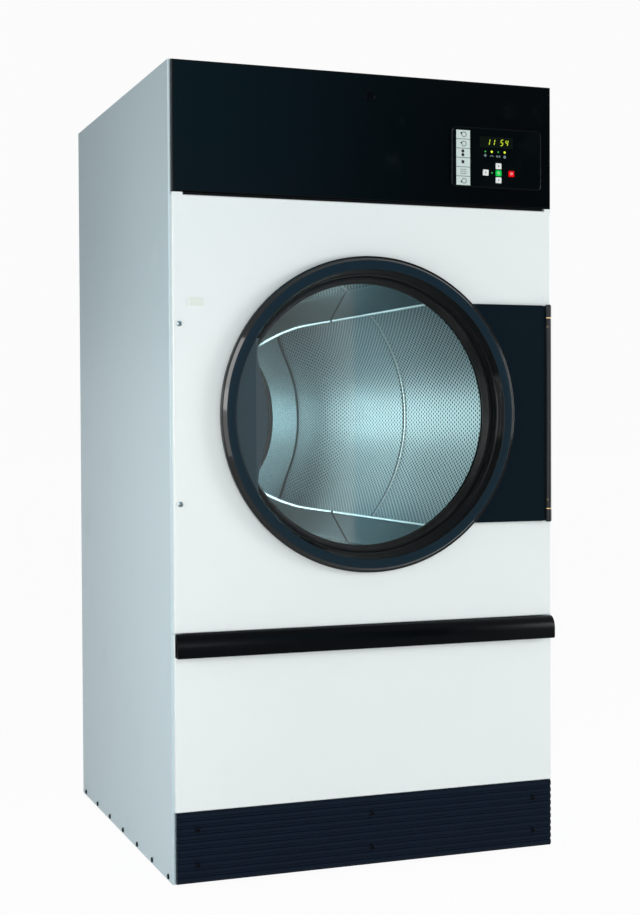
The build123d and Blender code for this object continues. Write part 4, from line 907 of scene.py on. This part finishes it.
SEGMENTS = {"1": "bc", "4": "bcfg", "5": "acdfg"}
DIGIT_WIDTH, DIGIT_HEIGHT, STROKE = 0.0056, 0.0138, 0.0019
STROKE_GAP = 0.15
DIGIT_LEAN = 0.2
DIGIT_PLACES = ((0.024, "1"), (0.0373, "1"), (0.060, "5"), (0.0733, "4"))
lens_low, lens_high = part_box("display_window")
digits = bmesh.new()


def stroke(build, ax, az, bx, bz, middle_x, middle_z):
    # One bar of a digit: six cornered, pointed at both ends, leaning with the digit.
    along = Vector((bx - ax, bz - az)).normalized()
    across = along.orthogonal() * STROKE / 2
    start = Vector((ax, az)) + along * STROKE * STROKE_GAP
    end = Vector((bx, bz)) - along * STROKE * STROKE_GAP
    inner = along * STROKE / 2
    points = [start, start + inner - across, end - inner - across]
    points += [end, end - inner + across, start + inner + across]
    outline = [(middle_x + point.x + DIGIT_LEAN * point.y, middle_z + point.y) for point in points]
    tile(build, outline, lens_low.y, draw_in=0.97)


w, h = DIGIT_WIDTH / 2, DIGIT_HEIGHT / 2
BARS = {
    "a": (-w, h, w, h), "b": (w, 0, w, h), "c": (w, -h, w, 0), "d": (-w, -h, w, -h),
    "f": (-w, 0, -w, h), "g": (-w, 0, w, 0),
}
for place, digit in DIGIT_PLACES:
    for name in SEGMENTS[digit]:
        stroke(digits, *BARS[name], lens_low.x + place, (lens_low.z + lens_high.z) / 2)
new_piece("lit_digits", digits, glowing("digit_glow", DIGIT_GLOW), "control")

LAMP_ROW = 0.0893
SIGN_ROW = 0.0797
LAMP_PLACES = (0.091, 0.1085, 0.126, 0.1435)
LAMP_DOME = ((1.0, 0.0), (0.92, 0.4), (0.7, 0.75), (0.35, 0.95))
LAMP_HEIGHT = 0.6
GREEN_RADIUS, YELLOW_RADIUS = 0.0021, 0.0028
lamp_z = bezel_low.z + LAMP_ROW
sign_z = bezel_low.z + SIGN_ROW
lamp_x = [bezel_low.x + place for place in LAMP_PLACES]


def lamp(build, x, z, radius):
    # A round lamp with a low domed top.
    rings = []
    for share, lift in LAMP_DOME:
        rim = polygon(x, z, radius * share, ROUND_SIDES)
        rings.append(loop_at(build, rim, face - lift * radius * LAMP_HEIGHT))
    build.faces.new(rings[0])
    build.faces.new(rings[-1])
    span(build, rings)


select_low, select_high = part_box("button_select")
start_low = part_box("button_start")[0]
key_z = (select_low.z + select_high.z) / 2
green_lamps = bmesh.new()
lamp(green_lamps, lamp_x[0], lamp_z, GREEN_RADIUS)
lamp(green_lamps, lamp_x[2], lamp_z, GREEN_RADIUS)
lamp(green_lamps, (select_high.x + start_low.x) / 2, key_z, GREEN_RADIUS)
new_piece("green_lamps", green_lamps, glowing("lamp_green", LAMP_GREEN), "control")
yellow_lamps = bmesh.new()
lamp(yellow_lamps, lamp_x[1], lamp_z, YELLOW_RADIUS)
lamp(yellow_lamps, lamp_x[3], lamp_z, YELLOW_RADIUS)
new_piece("yellow_lamps", yellow_lamps, glowing("lamp_yellow", LAMP_YELLOW), "control")

DIAMOND = 0.0042
ARCH_RADIUS, ARCH_WIDTH = 0.006, 0.0018
ARCH_TURNS = (-0.9, -0.5, 0.0, 0.5, 0.9)
SQUARE, SQUARE_SHIFT, SQUARE_DROP = 0.0045, 0.0033, 0.001
DISC, DISC_DROP = 0.0038, 0.0015
lamp_signs = bmesh.new()
tile(lamp_signs, polygon(lamp_x[0], sign_z, DIAMOND, 4), face)
arch_z = sign_z - ARCH_RADIUS
arch = [(lamp_x[1] + ARCH_RADIUS * math.sin(a), arch_z + ARCH_RADIUS * math.cos(a)) for a in ARCH_TURNS]
ribbon(lamp_signs, arch, ARCH_WIDTH, face)
for shift in (-SQUARE_SHIFT, SQUARE_SHIFT):
    tile(lamp_signs, rectangle(lamp_x[2] + shift, sign_z - SQUARE_DROP, SQUARE, SQUARE), face)
tile(lamp_signs, polygon(lamp_x[3], sign_z - DISC_DROP, DISC, DOT_SIDES), face)
new_piece("lamp_signs", lamp_signs, sign_grey, "control")

MARK_SIZE = 0.0026
MARK_RING = (0.0022, 0.0031)
for key in ("select", "up", "start", "down", "stop"):
    key_low, key_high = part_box("button_" + key)
    x = (key_low.x + key_high.x) / 2
    z = (key_low.z + key_high.z) / 2
    mark = bmesh.new()
    if key in ("start", "stop"):
        washer(mark, x, z, *MARK_RING, key_low.y)
        new_piece(key + "_mark", mark, key_white, "key_" + key)
    else:
        turn = {"select": 0.0, "up": math.pi / 2, "down": -math.pi / 2}[key]
        tile(mark, polygon(x, z, MARK_SIZE, 3, turn), key_low.y)
        new_piece(key + "_mark", mark, sign_dark, "key_" + key)

# The door hangs on a long pin in a strip with two ears; a pressed black plate carries the ring,
# and two magnets behind the front panel hold the plate shut.
DOOR_BLACK = (0.0040, 0.0095, 0.0150)
HINGE_BLACK = (0.0055, 0.0075, 0.0095)
DOOR_DUST = (0.06, 0.07, 0.08)
BRASS = (0.60, 0.44, 0.22)
FERRITE = (0.03, 0.03, 0.032)
door_paint = powder_coat(
    "door_paint", DOOR_BLACK, rough=0.42, peel=0.22, dust=DOOR_DUST, dusty=0.012, shine=0.02
)
dress(door_paint, "door_plate")
hinge_paint = powder_coat(
    "hinge_paint", HINGE_BLACK, rough=0.35, peel=0.2, dust=DOOR_DUST, dusty=0.03, shine=0.25
)
dress(hinge_paint, "hinge_post", "hinge_barrel")
dress(casting("ferrite", FERRITE, rough=0.6), "catch_magnets")

PIN_END = 0.016
HINGE_SCREW_INSET = 0.021
HINGE_SCREW_SINK = 0.001
HINGE_SCREW = {"radius": 0.0030, "height": 0.0014, "shank": 0.002}
HINGE_SCREW_FACING = Vector((-1.0, -1.0, 0.0)).normalized()
BRASS_DARK = (0.16, 0.13, 0.08)
pin_low, pin_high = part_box("hinge_pin")
barrel_low, barrel_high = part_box("hinge_barrel")
pin_x, pin_y = (pin_low.x + pin_high.x) / 2, (pin_low.y + pin_high.y) / 2
barrel_radius = barrel_high.x - pin_x


def brass_between_ends():
    # Turned brass, bright at the washers and blacked with the strip at the pin's two ends.
    finish = coat("hinge_brass", Metallic=1.0)
    z = finish.axes("Z")[0]
    inner = (z - pin_low.z).math("MINIMUM", pin_high.z - z)
    blacked = finish.ramp(inner, PIN_END, PIN_END / 2)
    lines = finish.noise(900.0, 1.0, (1.0, 1.0, 0.05))
    brass = finish.tone(lines, BRASS, 0.85, 1.1)
    finish.drive(Base_Color=finish.tint(blacked, brass, HINGE_BLACK))
    finish.drive(Roughness=0.3 + 0.12 * lines)
    return finish


dress(brass_between_ends(), "hinge_pin")
set_screws = bmesh.new()
for z in (barrel_low.z + HINGE_SCREW_INSET, barrel_high.z - HINGE_SCREW_INSET):
    seat = Vector((pin_x, pin_y, z)) + HINGE_SCREW_FACING * (barrel_radius - HINGE_SCREW_SINK)
    pan_screw(set_screws, seat, HINGE_SCREW_FACING, **HINGE_SCREW)
dark_brass = turned_steel("dark_brass", BRASS_DARK, rough=0.35)
new_piece("hinge_set_screws", set_screws, dark_brass, "door")

# The ring around the window is one moulding: a satin face, a rim that steps down to the plate
# and a deep polished cone that runs in to the rubber section around the glass. Its edges are soft.
RING_FACE = (0.0027, 0.0140, 0.0240)
RING_CONE = (0.0012, 0.0022, 0.0026)
RUBBER_BLACK = (0.004, 0.0042, 0.0045)
RUBBER_BLOOM = (0.03, 0.032, 0.035)
CONE_EDGE = 0.3435
BEVEL_EDGE = 0.3642
ring_low, ring_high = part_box("door_ring")
door_axis_z = (ring_low.z + ring_high.z) / 2


def ring_plastic():
    # Satin where the face was eroded in the tool, polished on the bevel and in the cone.
    finish = coat("ring_plastic", Specular_IOR_Level=0.14, Coat_Roughness=0.06)
    radius = finish.radius(door_axis_z)
    eroded = (radius > CONE_EDGE) * (radius < BEVEL_EDGE)
    skin = finish.noise(1100.0)
    marks = finish.ramp(finish.noise(13.0, 4.0), 0.5, 0.8)
    satin = finish.tone(skin, RING_FACE, 0.9, 1.1)
    finish.drive(Base_Color=finish.tint(eroded, RING_CONE, satin))
    finish.drive(Coat_Weight=0.35 * (radius > BEVEL_EDGE))
    finish.drive(Roughness=0.13 + 0.05 * marks + eroded * (0.2 + 0.06 * skin))
    finish.bump(skin * eroded, 0.00012, 0.12)
    return finish


def soft_rubber(name, colour, rough):
    # Extruded rubber with a slight bloom.
    finish = coat(name, Specular_IOR_Level=0.25)
    bloom = finish.ramp(finish.noise(16.0, 4.0), 0.45, 0.8)
    skin = finish.noise(800.0)
    finish.drive(Base_Color=finish.tint(0.25 * bloom, colour, RUBBER_BLOOM))
    finish.drive(Roughness=rough + 0.18 * bloom)
    finish.bump(skin, 0.0001, 0.15)
    return finish


RING_SIDES = 192
RING_WALL = 0.003
RIM_DEPTH = 0.0157
RIM_WALL = 0.0036
LEDGE_DEPTH = 0.0105
LEDGE_EDGE = 0.3712
STEP_EDGE, STEP_DEPTH = 0.3356, 0.0210
STEP_INNER, STEP_INNER_DEPTH = 0.3337, 0.0218
STEP_FOOT, STEP_FOOT_DEPTH = 0.3324, 0.0245
THROAT = 0.3270
CONE_BACK_DEPTH = 0.0048
RIM_EASE, LEDGE_EASE, FACE_EASE, CONE_EASE, STEP_EASE = 0.0022, 0.0008, 0.0030, 0.0022, 0.0006
ring_radius = ring_high.x
ring_front, ring_back = ring_low.y, ring_high.y
rim_back = ring_front + RIM_DEPTH
ledge = ring_front + LEDGE_DEPTH
ring_outline = eased([
    (ring_radius, rim_back, 0.0),
    (ring_radius, ledge, RIM_EASE),
    (LEDGE_EDGE, ledge, LEDGE_EASE),
    (BEVEL_EDGE, ring_front, FACE_EASE),
    (CONE_EDGE, ring_front, CONE_EASE),
    (STEP_EDGE, ring_front + STEP_DEPTH, 0.0),
    (STEP_INNER, ring_front + STEP_INNER_DEPTH, STEP_EASE),
    (STEP_FOOT, ring_front + STEP_FOOT_DEPTH, STEP_EASE),
    (THROAT, ring_back, 0.0),
    (THROAT + RING_WALL, ring_back, 0.0),
    (CONE_EDGE + RING_WALL, ring_front + CONE_BACK_DEPTH, 0.0),
    (BEVEL_EDGE - RING_WALL / 2, ring_front + RING_WALL, 0.0),
    (ring_radius - RIM_WALL, rim_back, 0.0),
])
ring_moulding = lathe(ring_outline, door_axis_z, RING_SIDES)
moulded_ring = new_piece("moulded_ring", ring_moulding, ring_plastic(), "door")
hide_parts("door_ring")
dress(soft_rubber("seal_rubber", RUBBER_BLACK, rough=0.3), "glass_seal")
dress(soft_rubber("gasket_rubber", RUBBER_BLACK, rough=0.5), "door_gasket")

# The pane is clear tempered glass, ground round its edge and gripped in the rubber section.
# It carries a few faint smears from wiping.
PANE_TINT = (0.915, 0.975, 0.975)
PANE_IOR = 1.45
PANE_POLISH = 0.03
PANE_MIRROR = 0.8
PANE_SMEAR = 0.012
WHITE = (1.0, 1.0, 1.0)


def clear_pane():
    # Seen straight through, with the mirror image of the room growing towards the rim.
    finish = coat("clear_pane")
    smear = finish.ramp(finish.noise(5.0, 4.0), 0.45, 0.8)
    through = finish.add("ShaderNodeBsdfTransparent", {0: (*PANE_TINT, 1.0)})
    shine = finish.add("ShaderNodeBsdfGlossy", {"Color": (*WHITE, 1.0), "Roughness": PANE_POLISH})
    mirror = finish.add("ShaderNodeFresnel", {"IOR": PANE_IOR})
    finish.blend(PANE_MIRROR * mirror + PANE_SMEAR * smear, through, shine)
    finish.tree.nodes.remove(finish.shader)
    return finish


dress(clear_pane(), "door_glass")

# The crescent pull inside the ring's left edge is a curved moulding in grained dark grey.
# It is bonded to the cone of the ring, with room behind it for the fingers.
PULL_GREY = (0.021, 0.042, 0.052)
dress(moulded("crescent_plastic", PULL_GREY, rough=0.5, grain=0.25, scale=900.0), "door_handle")

# The studio: a pale seamless floor, a soft key from the upper left, a low wide window in front, a fill
# from the right and a soft box at the left side. Mirrors alone see three cards, which paint reflections:
# a dark one in front for the black pieces, glowing blue towards its left end as a painted reflection; a
# black one behind, painted shade on the side panel through what it mirrors; a pale glowing one at the
# left, a painted highlight on the ring's rim.
FLOOR_SIZE = 80.0
FLOOR_SHOWS = 0.95
FLOOR_PALE = (0.93, 0.93, 0.93)


def seen_rays(finish):
    # 1 for rays that go to the eye directly, off a mirror or through glass.
    kinds = ("Is Camera Ray", "Is Glossy Ray", "Is Transmission Ray")
    eye, mirror, through = [finish.add("ShaderNodeLightPath", {}, kind) for kind in kinds]
    return eye.math("MAXIMUM", mirror).math("MAXIMUM", through)


def flat_sheet(name, corners):
    mesh = bpy.data.meshes.new(name)
    mesh.from_pydata(corners, [], [tuple(range(len(corners)))])
    sheet = add_object(name, mesh)
    return sheet


floor = flat_sheet("floor", [(x, y, 0.0) for x, y in rectangle(0.0, 0.0, FLOOR_SIZE, FLOOR_SIZE)])
floor_finish = coat("floor_finish", Roughness=0.9, Base_Color=(*FLOOR_PALE, 1.0))
floor_glow = floor_finish.add("ShaderNodeEmission", {"Color": (*WHITE, 1.0), "Strength": 1.0})
floor_lit = Signal(floor_finish, floor_finish.shader.outputs[0])
floor_finish.blend(FLOOR_SHOWS * seen_rays(floor_finish), floor_lit, floor_glow)
floor.data.materials.append(floor_finish.owner)

AMBIENT = 0.33
FAR_WHITE = 0.966
world = bpy.data.worlds.new("studio")
bpy.context.scene.world = world
room = Finish(world, "Background", Color=(*WHITE, 1.0))
room.drive(Strength=AMBIENT + (FAR_WHITE - AMBIENT) * seen_rays(room))

CARD_Y = -4.5
CARD_OUTLINE = ((1.55, 0.0), (3.6, 0.0), (3.6, 3.4), (-0.2, 3.4), (-0.2, 1.95), (1.55, 1.95))
CARD_FADE = (0.3, 2.2)
CARD_PAINTED_REFLECTION = (0.42, 1.35, 2.05)
CARD_BLACK = (0.0, 0.0, 0.0)
BACK_CARD_Y = 6.0
BACK_CARD_OUTLINE = ((-9.0, 1.5), (-0.7, 1.5), (-0.7, 7.0), (-9.0, 7.0))
PALE_CARD_X = -2.4
PALE_CARD_OUTLINE = ((-1.0, 1.2), (0.3, 1.2), (0.3, 3.0), (-1.0, 3.0))
PALE_CARD_PAINTED_HIGHLIGHT = 9.0


def card(name, corners, glow, strength=1.0):
    # A sheet that only mirrors see, with no shine of its own: a painted reflection, dark or glowing, on
    # what mirrors it.
    colours = {"Base_Color": (*CARD_BLACK, 1.0), "Emission_Color": (*glow, 1.0)}
    finish = coat(name, Roughness=1.0, Specular_IOR_Level=0.0, Emission_Strength=strength, **colours)
    sheet = flat_sheet(name, corners)
    sheet.data.materials.append(finish.owner)
    sheet.visible_camera = False
    sheet.visible_diffuse = False
    sheet.visible_shadow = False
    sheet.visible_transmission = False
    return finish


# The dark card glows blue towards its left end and fades to black: a painted reflection on the black
# pieces.
dark_card = card("dark_card", [(x, CARD_Y, z) for x, z in CARD_OUTLINE], CARD_BLACK)
painted_reflection_fade = dark_card.ramp(dark_card.axes("X")[0], *CARD_FADE)
dark_card.drive(Emission_Color=dark_card.tint(painted_reflection_fade, CARD_PAINTED_REFLECTION, CARD_BLACK))
# The black card behind is painted shade on the side panel, darkening what its upper back mirrors.
card("back_card", [(x, BACK_CARD_Y, z) for x, z in BACK_CARD_OUTLINE], CARD_BLACK)
# The pale card glows white for mirrors only: a painted highlight along the ring's rim.
card("pale_card", [(PALE_CARD_X, y, z) for y, z in PALE_CARD_OUTLINE], WHITE, PALE_CARD_PAINTED_HIGHLIGHT)


def soft_box(name, place, target, width, height, watts):
    # A rectangular area lamp at a place, turned to its target.
    light = bpy.data.lights.new(name, "AREA")
    light.shape = "RECTANGLE"
    light.size = width
    light.size_y = height
    light.energy = watts
    holder = add_object(name, light)
    forward = (Vector(target) - Vector(place)).normalized()
    facing = forward.to_track_quat("-Z", "Y").to_matrix().to_4x4()
    holder.matrix_world = Matrix.Translation(place) @ facing


soft_box("key", (-1.3, -4.5, 2.3), target=(0.0, -0.5, 0.9), width=1.8, height=1.8, watts=14.0)
soft_box("window", (-1.5, -5.0, 1.12), target=(0.0, -0.5, 1.05), width=2.2, height=1.0, watts=40.0)
soft_box("fill", (4.4, -2.7, 1.5), target=(0.0, -0.5, 1.0), width=1.6, height=1.6, watts=112.0)
soft_box("side", (-1.9, -0.95, 0.95), target=(-0.49, -0.3, 0.95), width=1.0, height=1.2, watts=10.5)

# The camera stands to the left of the front, a little above the middle of the door,
# with a long lens and a very slight roll.
CAMERA_PLACE = (-1.4261, -4.0566, 1.0682)
CAMERA_YAW = math.radians(20.353)
CAMERA_PITCH = math.radians(-1.217)
CAMERA_ROLL = math.radians(-0.269)
LENS_MM = 62.32
SENSOR_MM = 36.0
camera_data = bpy.data.cameras.new("photo_camera")
camera_data.sensor_fit = "VERTICAL"
camera_data.sensor_height = SENSOR_MM
camera_data.lens = LENS_MM
camera = add_object("photo_camera", camera_data)
turn = Matrix.Rotation(-CAMERA_YAW, 4, "Z") @ Matrix.Rotation(math.pi / 2 + CAMERA_PITCH, 4, "X")
camera.matrix_world = Matrix.Translation(CAMERA_PLACE) @ turn @ Matrix.Rotation(CAMERA_ROLL, 4, "Z")
bpy.context.scene.camera = camera
bpy.context.scene.view_settings.view_transform = "Standard"
